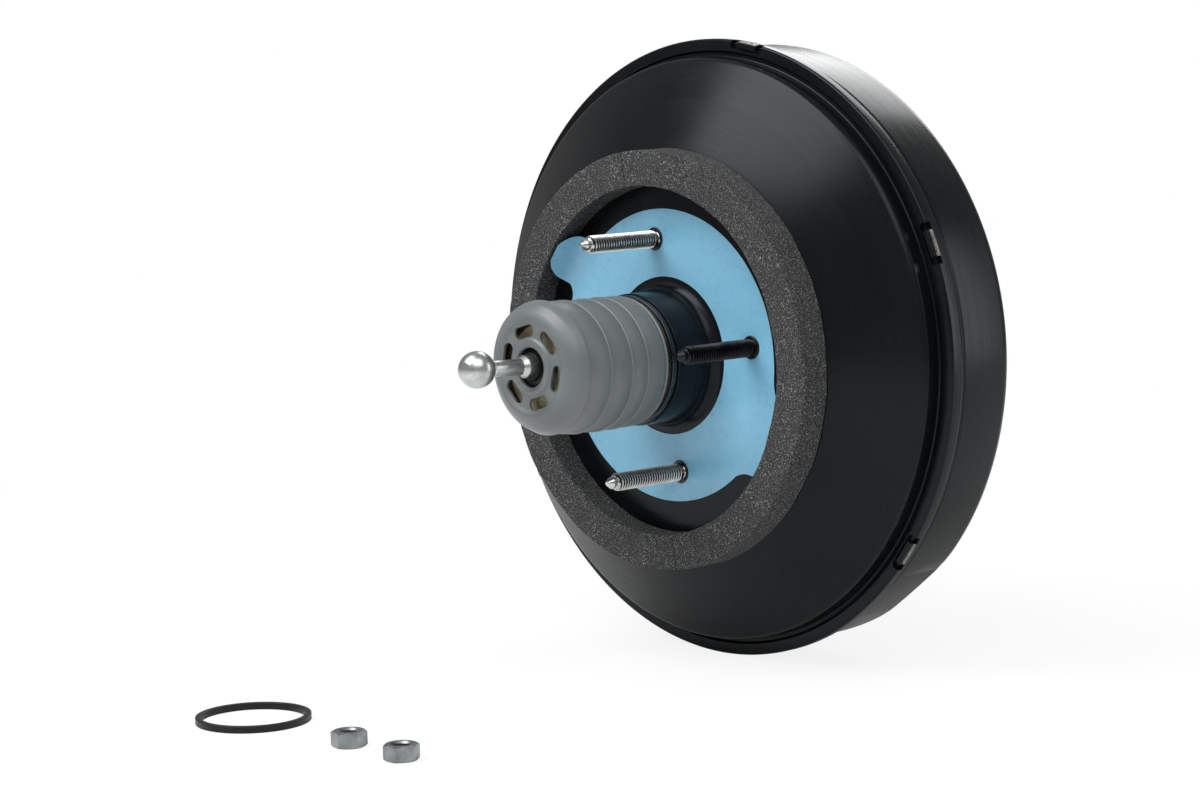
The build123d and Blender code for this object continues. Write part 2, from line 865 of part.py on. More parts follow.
def dust_washer():
    low = dust_washer_y
    high = low + dust_washer_thickness
    return tilted(
        around_axis(
            [
                (rod_shank_r, high),
                (rod_shank_r, low - 2.8),
                (rod_shank_r + dust_lip_wall, low - 2.8),
                (rod_shank_r + dust_lip_wall + 0.6, low - 0.8),
                (dust_washer_r - 2.0, low),
                (dust_washer_r, low + 0.3),
                (dust_washer_r, high),
            ]
        )
    )


def air_filter():
    low = valve_rear_y + felt_recess
    return tube(valve_r - valve_wall, felt_hole_r, low, low + felt_length)


def silencer():
    low = valve_rear_y + felt_recess + felt_length
    return tube(valve_r - valve_wall, silencer_hole_r, low, low + silencer_length)


disc_front_y = reaction_disc_y + reaction_disc_height


def reaction_disc():
    return tube(reaction_disc_r, 0, reaction_disc_y, disc_front_y)


def output_rod():
    head = disc_front_y + output_head_thickness
    rod = around_axis(
        [
            (0, disc_front_y),
            (reaction_disc_r, disc_front_y),
            (reaction_disc_r, head),
            (output_rod_r + 2, head),
            (output_rod_r, head + 3),
            (output_rod_r, output_rod_end_y - 6),
            (output_rod_r - 1.5, output_rod_end_y - 4),
            (output_rod_r - 1.5, output_rod_end_y),
            (0, output_rod_end_y),
        ]
    )
    return rod - tube(output_screw_r, 0, output_rod_end_y - 10, output_rod_end_y + 1)


def output_rod_tip():
    """Adjusting screw with a domed end."""
    screw = tube(output_screw_r, 0, output_rod_end_y - 8, output_rod_end_y + 1)
    head = around_axis(
        [
            (0, output_rod_end_y),
            (output_tip_r, output_rod_end_y),
            (output_tip_r, output_tip_y - 2.5),
            (output_tip_r - 0.9, output_tip_y - 0.8),
            (output_tip_r - 2.6, output_tip_y - 0.1),
            (0, output_tip_y),
        ]
    )
    flats = Pos(0, output_rod_end_y + 3, 0) * Box(2 * output_tip_r - 2, 4, 30)
    keep = tube(30, 0, output_rod_end_y + 5, output_tip_y + 5) + flats
    keep += tube(30, 0, output_rod_end_y - 20, output_rod_end_y + 1)
    return screw + (head & keep)


def output_rod_clip():
    """Sprung washer that keeps the output rod in the hub."""
    low = hub_boss_end_y
    head_r = output_rod_r + 2.4
    clip = tube(hub_boss_r - 0.4, head_r, low, low + 0.8)
    for step in range(3):
        notch = Pos(hub_boss_r - 1.5, low, 0) * Box(6, 4, 7)
        clip -= turned(step * 120 + 30) * notch
    return clip


def return_spring():
    rear = hub_y + hub_height + plate_sheet
    front = front_inner_y - plate
    return coil(return_spring_r, return_spring_wire, rear + 0.3, front - 0.1, return_spring_turns)


def front_seal():
    high = front_y - cylinder_bore_depth - sheet
    lip = output_rod_r + running_gap
    return around_axis(
        [
            (lip, high - 3.0),
            (cylinder_bore_r - 2.0, high - 3.0),
            (cylinder_bore_r - 2.0, high),
            (front_seal_hole_r, high),
            (front_seal_hole_r, high + sheet),
            (lip + 2.0, high + sheet),
            (lip, high + sheet - 1.2),
        ]
    )


def seal_keeper():
    high = front_y - cylinder_bore_depth - sheet - 3.0
    return around_axis(
        [
            (output_rod_r + 3, high - 1.0),
            (cylinder_bore_r - 1.0, high - 1.0),
            (cylinder_bore_r - 1.0, high + 3.0),
            (cylinder_bore_r - 2.0, high + 3.0),
            (cylinder_bore_r - 2.0, high),
            (output_rod_r + 3, high),
        ]
    )


def boot():
    """Bellows from the neck to the end of the valve body, with a slotted, domed end."""
    crest = boot_r
    valley = boot_r - boot_valley_depth
    stations = [(crest - 0.3, boot_front_y), (crest, boot_front_y - 1.5)]
    previous = boot_front_y
    for low in boot_valleys:
        span = previous - low
        stations.append((crest, previous - 0.45 * span))
        stations.append((crest - 0.35, previous - 0.8 * span))
        stations.append((valley, low))
        stations.append((valley + 0.5, low - 0.5))
        previous = low
    stations.pop()
    end_face = boot_end_y + boot_end_recess
    end_inside = end_face + boot_end_wall
    collar_end = end_face - boot_collar_height
    outer = stations + [
        (boot_r - 0.3, boot_valleys[-1] - 2.0),
        (boot_r - 1.5, boot_valleys[-1] - 4.2),
        (boot_r - 4.2, boot_valleys[-1] - 6.8),
        (boot_end_r + boot_end_lift + 0.6, boot_end_y),
        (0, boot_end_y),
    ]
    inner = [
        (0, end_inside),
        (boot_end_r, end_inside),
        (boot_r - 4.6 - boot_wall, boot_valleys[-1] - 5.4),
        (boot_r - 1.6 - boot_wall, boot_valleys[-1] - 2.6),
    ]
    for low in reversed(boot_valleys):
        inner.append((valley - boot_wall, low))
        inner.append((crest - boot_wall - 0.5, low + 3.2))
    bead_low = groove_top_y + 1.0
    inner.append((retainer_r - 1.5, groove_top_y - 0.4))
    inner.append((retainer_r - 1.5, bead_low))
    inner.append((retainer_groove_r, bead_low))
    inner.append((retainer_groove_r, boot_front_y))
    wall = around_axis(outer + inner)
    lifted = Pos(0, 0, boot_end_lift)
    wall -= lifted * tube(boot_end_r, 0, boot_end_y - 5, end_inside + 1)
    wall += lifted * around_axis(
        [
            (boot_hole_r, end_inside),
            (boot_hole_r, collar_end + 0.5),
            (boot_hole_r + 0.8, collar_end),
            (boot_collar_r - 0.8, collar_end),
            (boot_collar_r, collar_end + 0.5),
            (boot_collar_r + 0.4, end_face),
            (boot_end_r, end_face),
            (boot_end_r, end_inside),
        ]
    )
    half = boot_slot_length / 2 - boot_slot_width / 2
    reach = 12
    slot = Pos(boot_slot_circle_r, boot_end_y, 0) * (
        Box(boot_slot_width, reach, 2 * half)
        + Pos(0, 0, half) * tube(boot_slot_width / 2, 0, -reach / 2, reach / 2)
        + Pos(0, 0, -half) * tube(boot_slot_width / 2, 0, -reach / 2, reach / 2)
    )
    for step in range(boot_slot_count):
        wall -= lifted * turned(boot_slot_first_angle + step * 360 / boot_slot_count) * slot
    return wall


def foam_strips():
    """Two die-cut strips butted into a ring; their front faces follow the shell."""
    low = -foam_height
    ring = Pos(0, 0, -foam_drop) * tube(foam_outer_r, foam_inner_r, low, 30)
    ring -= Pos(0, 0, -foam_drop) * tube(foam_inner_r, 0, -50, 50)
    ring -= behind_rear_shell()
    half = turned(foam_seam_angle) * Pos(0, 0, 100) * Box(300, 300, 200)
    return ring & half, ring - half


def film_blank(thickness):
    """Film outline: a ring with two peel tabs on opposite sides."""
    disc = Circle(film_outer_r)
    outline = disc
    for angle in (film_tab_angle, film_tab_angle + 180):
        tab = Rot(0, 0, angle) * Pos(film_tab_r - film_tab_width / 2, 0, 0) * (
            Circle(film_tab_width / 2)
            + Pos(-film_tab_width / 2, 0, 0) * Rectangle(film_tab_width, film_tab_width)
        )
        outline += tab
    roots = outline.vertices().filter_by(
        lambda v: abs(math.hypot(v.X, v.Y) - film_outer_r) < 0.5
    )
    outline = fillet(roots, film_fillet)
    outline -= Circle(film_inner_r)
    for angle in stud_angles:
        turn = math.radians(angle)
        spot = Pos(stud_circle_r * math.cos(turn), stud_circle_r * math.sin(turn), 0)
        outline -= spot * Circle(film_stud_hole_r)
    return extrude(outline, amount=thickness)


def mounting_film():
    return Rot(90, 0, 0) * film_blank(film)


port = place(valve_port_angle, valve_port_r)
check_floor_y = turret_y + grommet_flange


def check_grommet():
    low = turret_y - sheet
    return port * around_axis(
        [
            (check_stem_r, low - grommet_flange),
            (grommet_flange_r - 1.5, low - grommet_flange),
            (grommet_flange_r - 0.6, low),
            (grommet_hole_r, low),
            (grommet_hole_r, turret_y),
            (grommet_flange_r, turret_y),
            (grommet_flange_r, check_floor_y),
            (check_stem_r, check_floor_y),
        ]
    )


def check_body():
    top = check_floor_y + check_body_length
    roof = top - check_floor
    body = around_axis(
        [
            (check_stem_bore_r, turret_y - 9),
            (check_stem_r - 0.8, turret_y - 9),
            (check_stem_r, turret_y - 8),
            (check_stem_r, check_floor_y),
            (check_body_r, check_floor_y),
            (check_body_r, top - 1.5),
            (check_body_r - 1.5, top),
            (0, top),
            (0, roof),
            (check_cavity_r, roof),
            (check_cavity_r, check_floor_y + check_floor),
            (check_stem_bore_r, check_floor_y + check_floor),
        ]
    )
    start = check_cavity_r + 0.6
    barb_line = [(0, start), (hose_barb_r, start), (hose_barb_r, check_body_r + 4)]
    pitch = 5.0
    for step in range(4):
        low = check_body_r + 6 + step * pitch
        barb_line.append((hose_barb_r, low))
        barb_line.append((hose_barb_r + hose_barb_ridge, low + 0.6))
    barb_line.append((hose_barb_r, check_body_r + hose_barb_length - 1))
    barb_line.append((hose_barb_r - 1, check_body_r + hose_barb_length))
    barb_line.append((0, check_body_r + hose_barb_length))
    barb_y = roof - hose_barb_bore_r - 1.0
    aim = Pos(0, barb_y, 0) * turned(valve_port_angle - 25) * Rot(0, 0, -90)
    body += aim * around_axis(barb_line)
    body -= aim * tube(hose_barb_bore_r, 0, 1, check_body_r + hose_barb_length + 1)
    body -= tube(check_cavity_r, 0, check_floor_y + check_floor, roof)
    return port * body


check_disc_y = check_floor_y + check_floor + stop_gap


def check_disc():
    return port * tube(check_disc_r, 0, check_disc_y, check_disc_y + check_disc_thickness)


def check_spring():
    low = check_disc_y + check_disc_thickness + 0.1
    roof = check_floor_y + check_body_length - check_floor
    return port * coil(check_spring_r, check_spring_wire, low, roof - 0.05, 4)


def seal_ring():
    """Square section ring for the master cylinder spigot."""
    x, y = seal_ring_place
    ring = Cylinder(seal_ring_r, seal_ring_height, align=(Align.CENTER, Align.CENTER, Align.MIN))
    ring -= Cylinder(seal_ring_bore_r, 3 * seal_ring_height)
    ring = chamfer(ring.edges().filter_by(GeomType.CIRCLE), 0.25)
    return Pos(x, y, floor_z) * ring


def nuts():
    corner_r = nut_width / math.sqrt(3)
    blank = extrude(RegularPolygon(corner_r, 6), amount=nut_height)
    cone = Cylinder(corner_r, nut_height, align=(Align.CENTER, Align.CENTER, Align.MIN))
    rims = cone.edges().filter_by(GeomType.CIRCLE)
    blank &= chamfer(rims, nut_chamfer * 0.6, nut_chamfer)
    blank -= Cylinder(nut_bore_r, 3 * nut_height)
    placed = []
    for (x, y), turn in zip(nut_places, nut_turns):
        placed.append(Pos(x, y, floor_z) * Rot(0, 0, turn) * blank)
    return Compound(placed)


os.makedirs("parts", exist_ok=True)
left_strip, right_strip = foam_strips()

save(rear_shell(), "rear_shell")
save(front_shell(), "front_shell")
save(rear_plate(), "rear_reinforcement_plate")
save(front_plate(), "front_reinforcement_plate")
save(mounting_studs(), "mounting_studs")
save(tie_bolts(), "tie_bolts")
save(tie_bolt_seals(), "tie_bolt_seals")
save(neck_retainer(), "neck_retainer")
save(guide_bush(), "guide_bush")
save(guide_seal(), "guide_seal")
save(valve_body(), "valve_body")
save(stop_key(), "stop_key")
save(diaphragm_plate(), "diaphragm_plate")
save(plate_lock_ring(), "plate_lock_ring")
save(bolt_sleeves(), "bolt_sleeve_seals")
save(diaphragm(), "diaphragm")
save(poppet(), "poppet")
save(poppet_insert(), "poppet_insert")
save(poppet_retainer(), "poppet_retainer")
save(poppet_spring(), "poppet_spring")
save(plunger(), "plunger")
save(ball_cup(), "ball_cup")
save(input_rod(), "input_rod")
save(spring_seat(), "rod_spring_seat")
save(rod_spring(), "rod_spring")
save(dust_washer(), "rod_dust_washer")
save(air_filter(), "air_filter")
save(silencer(), "air_silencer")
save(reaction_disc(), "reaction_disc")
save(output_rod(), "output_rod")
save(output_rod_tip(), "output_rod_tip")
save(output_rod_clip(), "output_rod_clip")
save(return_spring(), "return_spring")
save(front_seal(), "front_seal")
save(seal_keeper(), "front_seal_keeper")
save(boot(), "boot")
save(left_strip, "foam_strip_left")
save(right_strip, "foam_strip_right")
save(mounting_film(), "mounting_film")
save(check_grommet(), "check_valve_grommet")
save(check_body(), "check_valve_body")
save(check_disc(), "check_valve_disc")
save(check_spring(), "check_valve_spring")
save(seal_ring(), "cylinder_seal_ring")
save(nuts(), "cylinder_nuts")
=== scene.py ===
import json
import math

import bpy
from mathutils import Matrix, Vector, noise


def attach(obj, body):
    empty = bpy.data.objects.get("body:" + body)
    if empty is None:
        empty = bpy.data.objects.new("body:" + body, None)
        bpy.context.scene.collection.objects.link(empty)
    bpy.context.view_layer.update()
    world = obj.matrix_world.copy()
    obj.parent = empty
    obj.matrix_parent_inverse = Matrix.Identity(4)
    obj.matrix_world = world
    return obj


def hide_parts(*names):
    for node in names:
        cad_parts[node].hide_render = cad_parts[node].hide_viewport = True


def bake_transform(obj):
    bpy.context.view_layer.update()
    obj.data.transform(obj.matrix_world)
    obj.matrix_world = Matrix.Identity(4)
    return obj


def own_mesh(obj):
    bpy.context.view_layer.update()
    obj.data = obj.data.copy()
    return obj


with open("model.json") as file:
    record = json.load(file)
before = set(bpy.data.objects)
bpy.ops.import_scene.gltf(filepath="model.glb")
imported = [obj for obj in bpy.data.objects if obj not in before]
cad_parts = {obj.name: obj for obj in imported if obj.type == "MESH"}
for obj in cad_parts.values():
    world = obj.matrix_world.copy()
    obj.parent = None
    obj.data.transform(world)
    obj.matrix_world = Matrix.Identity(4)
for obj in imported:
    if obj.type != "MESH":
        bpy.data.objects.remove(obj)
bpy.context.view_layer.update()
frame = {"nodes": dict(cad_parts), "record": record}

# Outlines are written in millimetres as (radius, place along the booster's axis).
MM = 0.001
NODES = frame["nodes"]
STUD_CIRCLE = 52.5
TIE_BOLT_ANGLES = (97.0, 277.0)
PRESSED_STUD_ANGLES = (7.0, 187.0)
STUD_ANGLES = TIE_BOLT_ANGLES + PRESSED_STUD_ANGLES
CLINCH_FIRST, CLINCH_PITCH = 80.3, 58.3
NO_CLINCH = (3, 5)  # these two of the six are in the solids but aren't drawn
CLINCH_ANGLES = [CLINCH_FIRST - step * CLINCH_PITCH for step in range(6) if step not in NO_CLINCH]
FLOOR = -140.4
ROD_PIVOT = -20.0
ROD_TILT = 2.5
SMOOTH = math.radians(32)
BEND_STEP = math.radians(11)


# ---------------------------------------------------------------- modelling


def deselect():
    bpy.ops.object.select_all(action="DESELECT")


def take(piece):
    """Makes a piece the only selected and active one."""
    deselect()
    piece.select_set(True)
    bpy.context.view_layer.objects.active = piece


def apply_modifiers(piece):
    take(piece)
    for modifier in list(piece.modifiers):
        bpy.ops.object.modifier_apply(modifier=modifier.name)


def smooth(piece, angle=SMOOTH):
    take(piece)
    bpy.ops.object.shade_smooth_by_angle(angle=angle)


def rounded(points):
    """Rounds the corners of an outline that name a bend radius as their third number."""
    out = []
    count = len(points)
    for index, point in enumerate(points):
        here = Vector(point[:2])
        bend = point[2] if len(point) > 2 else 0
        if not bend:
            out.append(here)
            continue
        back = Vector(points[index - 1][:2]) - here
        ahead = Vector(points[(index + 1) % count][:2]) - here
        half = back.angle(ahead) / 2
        reach = min(bend / math.tan(half), back.length * 0.95, ahead.length * 0.95)
        bend = reach * math.tan(half)
        inward = (back.normalized() + ahead.normalized()).normalized()
        middle = here + inward * bend / math.sin(half)
        first = here + back.normalized() * reach - middle
        sweep = math.pi - 2 * half
        if back.cross(ahead) > 0:
            sweep = -sweep
        steps = max(2, math.ceil(abs(sweep) / BEND_STEP))
        for step in range(steps + 1):
            turn = Matrix.Rotation(sweep * step / steps, 2)
            out.append(middle + turn @ first)
    return out


def start_outline(name, x, y):
    """Makes a mesh of one point, left in edit mode for an outline to be extruded from it."""
    deselect()
    bpy.ops.mesh.primitive_plane_add(size=MM)
    piece = bpy.context.object
    piece.name = piece.data.name = name
    bpy.ops.object.mode_set(mode="EDIT")
    bpy.ops.mesh.select_all(action="SELECT")
    bpy.ops.mesh.merge(type="CENTER")
    bpy.ops.transform.translate(value=(x * MM, y * MM, 0))
    return piece


def lathe(name, points, steps=128, arc=360.0):
    """Draws an outline edge by edge in the XY plane and spins it about the booster's axis."""
    outline = rounded(points)
    piece = start_outline(name, outline[0].x, outline[0].y)
    for start, end in zip(outline, outline[1:] + outline[:1]):
        move = (end - start) * MM
        bpy.ops.mesh.extrude_region_move(TRANSFORM_OT_translate={"value": (move.x, move.y, 0)})
    bpy.ops.mesh.select_all(action="SELECT")
    bpy.ops.mesh.remove_doubles(threshold=1e-7)
    bpy.ops.mesh.spin(steps=steps, angle=math.radians(arc), center=(0, 0, 0), axis=(0, 1, 0))
    bpy.ops.mesh.select_all(action="SELECT")
    bpy.ops.mesh.remove_doubles(threshold=2e-6)
    if arc < 360:
        bpy.ops.mesh.select_non_manifold(extend=False)
        bpy.ops.mesh.edge_face_add()
        bpy.ops.mesh.select_all(action="SELECT")
    bpy.ops.mesh.normals_make_consistent(inside=False)
    bpy.ops.object.mode_set(mode="OBJECT")
    smooth(piece)
    return piece


def face_normals(piece, inside=False):
    take(piece)
    bpy.ops.object.mode_set(mode="EDIT")
    bpy.ops.mesh.select_all(action="SELECT")
    bpy.ops.mesh.normals_make_consistent(inside=inside)
    bpy.ops.object.mode_set(mode="OBJECT")


def bevel_edges(piece, name, width, sharper_than):
    bevel = piece.modifiers.new(name, "BEVEL")
    bevel.width = width * MM
    bevel.segments = 2
    bevel.limit_method = "ANGLE"
    bevel.angle_limit = math.radians(sharper_than)
    apply_modifiers(piece)


def carry(piece, matrix):
    piece.data.transform(matrix)
    return piece


def shift(x=0.0, y=0.0, z=0.0):
    return Matrix.Translation((x * MM, y * MM, z * MM))


def round_axis(degrees):
    """Turns +X to that angle round the booster's axis, towards +Z."""
    return Matrix.Rotation(-math.radians(degrees), 4, "Y")


def on_circle(angle, radius):
    turn = math.radians(angle)
    return shift(radius * math.cos(turn), 0, radius * math.sin(turn))


def copy_of(piece, name):
    twin = piece.copy()
    twin.data = piece.data.copy()
    twin.name = twin.data.name = name
    bpy.context.scene.collection.objects.link(twin)
    return twin


def join(name, *pieces):
    take(pieces[0])
    for piece in pieces[1:]:
        piece.select_set(True)
    bpy.ops.object.join()
    whole = bpy.context.object
    whole.name = whole.data.name = name
    return whole


def round_circle(piece, angles, name):
    """Sets a copy of a piece at each angle of the studs' circle and joins the copies."""
    made = []
    for index, angle in enumerate(angles):
        twin = copy_of(piece, f"{name}_{index}")
        made.append(carry(twin, on_circle(angle, STUD_CIRCLE)))
    bpy.data.objects.remove(piece)
    return join(name, *made)


def cut(piece, cutter, operation="DIFFERENCE"):
    modifier = piece.modifiers.new("cut", "BOOLEAN")
    modifier.operation = operation
    modifier.solver = "EXACT"
    modifier.object = cutter
    apply_modifiers(piece)
    bpy.data.objects.remove(cutter)
    return piece


def slot_cutter(width, length, depth):
    """Upright bar with round ends, its length along Z and its depth along Y."""
    deselect()
    bpy.ops.mesh.primitive_cylinder_add(vertices=24, radius=width / 2 * MM, depth=depth * MM)
    cutter = bpy.context.object
    cutter.data.transform(Matrix.Rotation(math.pi / 2, 4, "X"))
    reach = (length - width) / 2 * MM
    for vertex in cutter.data.vertices:
        vertex.co.z += reach if vertex.co.z > 1e-6 else -reach
    return cutter


def notch_cutter(width, depth_out, height):
    """Bar as long as a clinch notch, round at its inner corners and open outwards."""
    cutter = slot_cutter(3.8, width, height)
    for vertex in cutter.data.vertices:
        if vertex.co.x > 1e-6:
            vertex.co.x += depth_out * MM
    return cutter


def finish_with(piece, material, body, *nodes):
    """Gives a finished piece its material and body, and hides the solids it stands for."""
    piece.data.materials.clear()
    piece.data.materials.append(material)
    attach(piece, body)
    if nodes:
        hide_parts(*nodes)
    return piece


# ---------------------------------------------------------------- materials


def srgb(code):
    """Linear colour of an sRGB hex value."""
    parts = [int(code[i : i + 2], 16) / 255 for i in (1, 3, 5)]
    linear = [c / 12.92 if c <= 0.04045 else ((c + 0.055) / 1.055) ** 2.4 for c in parts]
    return (*linear, 1.0)


def add(material, kind, settings=None, links=None):
    """Adds a shader node with its settings and the sockets that feed it."""
    tree = material.node_tree
    node = tree.nodes.new(kind)
    for key, value in (settings or {}).items():
        if isinstance(key, int) or key in node.inputs:
            node.inputs[key].default_value = value
        else:
            setattr(node, key, value)
    for key, socket in (links or {}).items():
        tree.links.new(socket, node.inputs[key])
    return node


def new_material(name):
    material = bpy.data.materials.new(name)
    material.use_nodes = True
    material.node_tree.nodes.clear()
    return material


def close(material, shader):
    add(material, "ShaderNodeOutputMaterial", links={"Surface": shader.outputs[0]})
    return material


def object_point(material):
    return add(material, "ShaderNodeTexCoord").outputs["Object"]


def blotches(material, size_mm, detail=2.0, vector=None, rough=0.5):
    """Noise whose spots are about that many millimetres across."""
    point = vector or object_point(material)
    settings = {"Scale": 1000.0 / size_mm, "Detail": detail, "Roughness": rough}
    return add(material, "ShaderNodeTexNoise", settings, {"Vector": point}).outputs["Fac"]


def spread(material, value, low, high, start=0.3, end=0.7):
    """Carries a pattern from 0..1 to the range low..high."""
    settings = {"From Min": start, "From Max": end, "To Min": low, "To Max": high}
    return add(material, "ShaderNodeMapRange", settings, {"Value": value}).outputs[0]


def two_tones(material, value, dark, light, start=0.3, end=0.7):
    ramp = add(material, "ShaderNodeValToRGB", links={"Fac": value})
    ramp.color_ramp.elements[0].position = start
    ramp.color_ramp.elements[0].color = srgb(dark)
    ramp.color_ramp.elements[1].position = end
    ramp.color_ramp.elements[1].color = srgb(light)
    return ramp.outputs["Color"]


def bumps(material, height, depth_mm, strength=1.0, normal=None):
    settings = {"Distance": depth_mm * MM, "Strength": strength}
    links = {"Height": height}
    if normal is not None:
        links["Normal"] = normal
    return add(material, "ShaderNodeBump", settings, links).outputs["Normal"]


def turning_marks(material, pitch_mm):
    """Rings left by spinning or turning: a pattern that changes with radius and height only."""
    parts = add(material, "ShaderNodeSeparateXYZ", links={"Vector": object_point(material)})
    flat = add(
        material,
        "ShaderNodeCombineXYZ",
        links={"X": parts.outputs["X"], "Y": parts.outputs["Z"]},
    )
    radius = add(
        material,
        "ShaderNodeVectorMath",
        {"operation": "LENGTH"},
        {0: flat.outputs["Vector"]},
    )
    rings = add(
        material,
        "ShaderNodeCombineXYZ",
        links={"X": radius.outputs["Value"], "Y": parts.outputs["Y"]},
    )
    return blotches(material, pitch_mm, 3.0, rings.outputs["Vector"], 0.6)


def satin_black_paint():
    """Cathodic dip paint on spun steel: satin, thin enough for the spinning rings to show."""
    material = new_material("satin_black_dip_paint")
    rings = turning_marks(material, 1.6)
    grain = blotches(material, 0.9)
    cloud = blotches(material, 38)
    rough = add(
        material,
        "ShaderNodeMath",
        {"operation": "ADD"},
        {0: spread(material, rings, 0.20, 0.27), 1: spread(material, cloud, 0.0, 0.04)},
    )
    relief = bumps(material, grain, 0.004)
    relief = bumps(material, rings, 0.011, normal=relief)
    shader = add(
        material,
        "ShaderNodeBsdfPrincipled",
        {"IOR": 1.5, "Specular IOR Level": 0.18, "Specular Tint": srgb("#dfeaf2")},
        {
            "Base Color": two_tones(material, cloud, "#090a0b", "#0d0e10"),
            "Roughness": rough.outputs[0],
            "Normal": relief,
        },
    )
    return close(material, shader)


def bare_metal(name, dark, light, roughness, grain_mm=0.5, depth_mm=0.004, marks_mm=None):
    """Plated or bare steel: clouded tone, fine scratches or turning marks, and painted shade that
    darkens the thread grooves.
    """
    material = new_material(name)
    cloud = blotches(material, 6, 3.0)
    fine = turning_marks(material, marks_mm) if marks_mm else blotches(material, grain_mm)
    # painted shade: the colour darkens towards the root of each thread groove
    groove = add(material, "ShaderNodeAttribute", {"attribute_name": "groove"})
    tone = add(
        material,
        "ShaderNodeMix",
        {"data_type": "RGBA", "blend_type": "MULTIPLY", 0: 1.0},
        {
            6: two_tones(material, cloud, dark, light),
            7: two_tones(material, groove.outputs["Fac"], "#ffffff", "#5c5c5c", 0.25, 0.8),
        },
    )
    shader = add(
        material,
        "ShaderNodeBsdfPrincipled",
        {"Metallic": 1.0},
        {
            "Base Color": tone.outputs[2],
            "Roughness": spread(material, fine, roughness - 0.05, roughness + 0.08),
            "Normal": bumps(material, fine, depth_mm),
        },
    )
    return close(material, shader)


def moulded(name, dark, light, roughness, grain_mm=0.6, depth_mm=0.01, level=0.5, cloud_mm=14):
    """Moulded rubber or plastic: even colour with a faint cloud and a fine mould grain."""
    material = new_material(name)
    cloud = blotches(material, cloud_mm, 3.0)
    grain = blotches(material, grain_mm)
    shader = add(
        material,
        "ShaderNodeBsdfPrincipled",
        {"IOR": 1.5, "Specular IOR Level": level},
        {
            "Base Color": two_tones(material, cloud, dark, light),
            "Roughness": spread(material, grain, roughness - 0.04, roughness + 0.05),
            "Normal": bumps(material, grain, depth_mm),
        },
    )
    return close(material, shader)


def open_cell_foam():
    """Polyurethane foam, cut by wire: charcoal grey, with painted shade darkening the open cells
    and painted glints lighting a few cell walls.
    """
    material = new_material("polyurethane_foam")
    point = object_point(material)
    pores_and_cell_shade = blotches(material, 0.62, 2.0, point, 0.8)
    painted_glints = blotches(material, 0.5, 1.0, point)
    # the foam's charcoal grey, darkened in the pores by painted shade
    tone = two_tones(material, pores_and_cell_shade, "#121313", "#4a4b4b", 0.36, 0.62)
    # painted glints: bright flecks where cell walls catch the light
    painted_glint_fleck = two_tones(material, painted_glints, "#000000", "#c4c4c0", 0.62, 0.70)
    colour = add(
        material,
        "ShaderNodeMix",
        {"data_type": "RGBA", "blend_type": "ADD", 0: 0.5},
        {6: tone, 7: painted_glint_fleck},
    )
    shader = add(
        material,
        "ShaderNodeBsdfPrincipled",
        {"Roughness": 0.9, "Specular IOR Level": 0.15},
        {"Base Color": colour.outputs[2], "Normal": bumps(material, pores_and_cell_shade, 0.35, 0.8)},
    )
    return close(material, shader)


def polyester_felt():
    """Needled felt: tangled fibres about 0.5 mm apart."""
    material = new_material("needled_felt")
    fibres = blotches(material, 0.5, 4.0, rough=0.7)
    shader = add(
        material,
        "ShaderNodeBsdfPrincipled",
        {"Roughness": 0.95, "Specular IOR Level": 0.1},
        {
            "Base Color": two_tones(material, fibres, "#b0a583", "#e2d8b8"),
            "Normal": bumps(material, fibres, 0.25),
        },
    )
    return close(material, shader)


def vinyl_film():
    """Calendered PVC film with a low, oily wave that bends its gloss."""
    material = new_material("calendered_film")
    wave = blotches(material, 26, 1.0)
    haze = blotches(material, 5, 2.0)
    shader = add(
        material,
        "ShaderNodeBsdfPrincipled",
        {"IOR": 1.46},
        {
            "Base Color": two_tones(material, wave, "#78b2cf", "#7bb5d1"),
            "Roughness": spread(material, haze, 0.26, 0.30),
            "Normal": bumps(material, wave, 0.12, 0.5),
        },
    )
    return close(material, shader)


PAINT = satin_black_paint()
ZINC = bare_metal("bright_zinc_plate", "#a9abab", "#c6c7c5", 0.20, 0.9, 0.001)
ROD_ZINC = bare_metal("zinc_plate_turned", "#a2a5a5", "#c0c3c2", 0.30, marks_mm=0.5)
NUT_ZINC = bare_metal("grey_zinc_flake", "#6f7374", "#909495", 0.38, 0.7, 0.02)
TAB_STEEL = bare_metal("sheared_steel", "#6c6a66", "#96938c", 0.42, 0.6, 0.01)
PHOSPHATE = bare_metal("black_phosphate", "#1e1f21", "#313235", 0.28, 0.6, 0.006)
PRESSED = bare_metal("pressed_steel", "#6f7070", "#8c8d8c", 0.42)
SPRING = bare_metal("spring_wire", "#5a5a5b", "#7d7e7e", 0.35)
BLACK_RUBBER = moulded("nitrile_rubber", "#0d0e0f", "#151617", 0.42, level=0.25)
WET_RUBBER = moulded("moulded_retainer_rubber", "#0b0c0c", "#121313", 0.26)
BOOT_RUBBER = moulded("grey_epdm_rubber", "#5e6364", "#666b6c", 0.38, 0.8, 0.015, 0.5, 20)
PHENOLIC = moulded("phenolic_moulding", "#221c16", "#2f2820", 0.48)
NYLON = moulded("glass_filled_nylon", "#101112", "#1a1b1c", 0.36)
ACETAL = moulded("natural_acetal", "#b3ab97", "#c4bda9", 0.40)
FOAM = open_cell_foam()
FELT = polyester_felt()
FILM = vinyl_film()

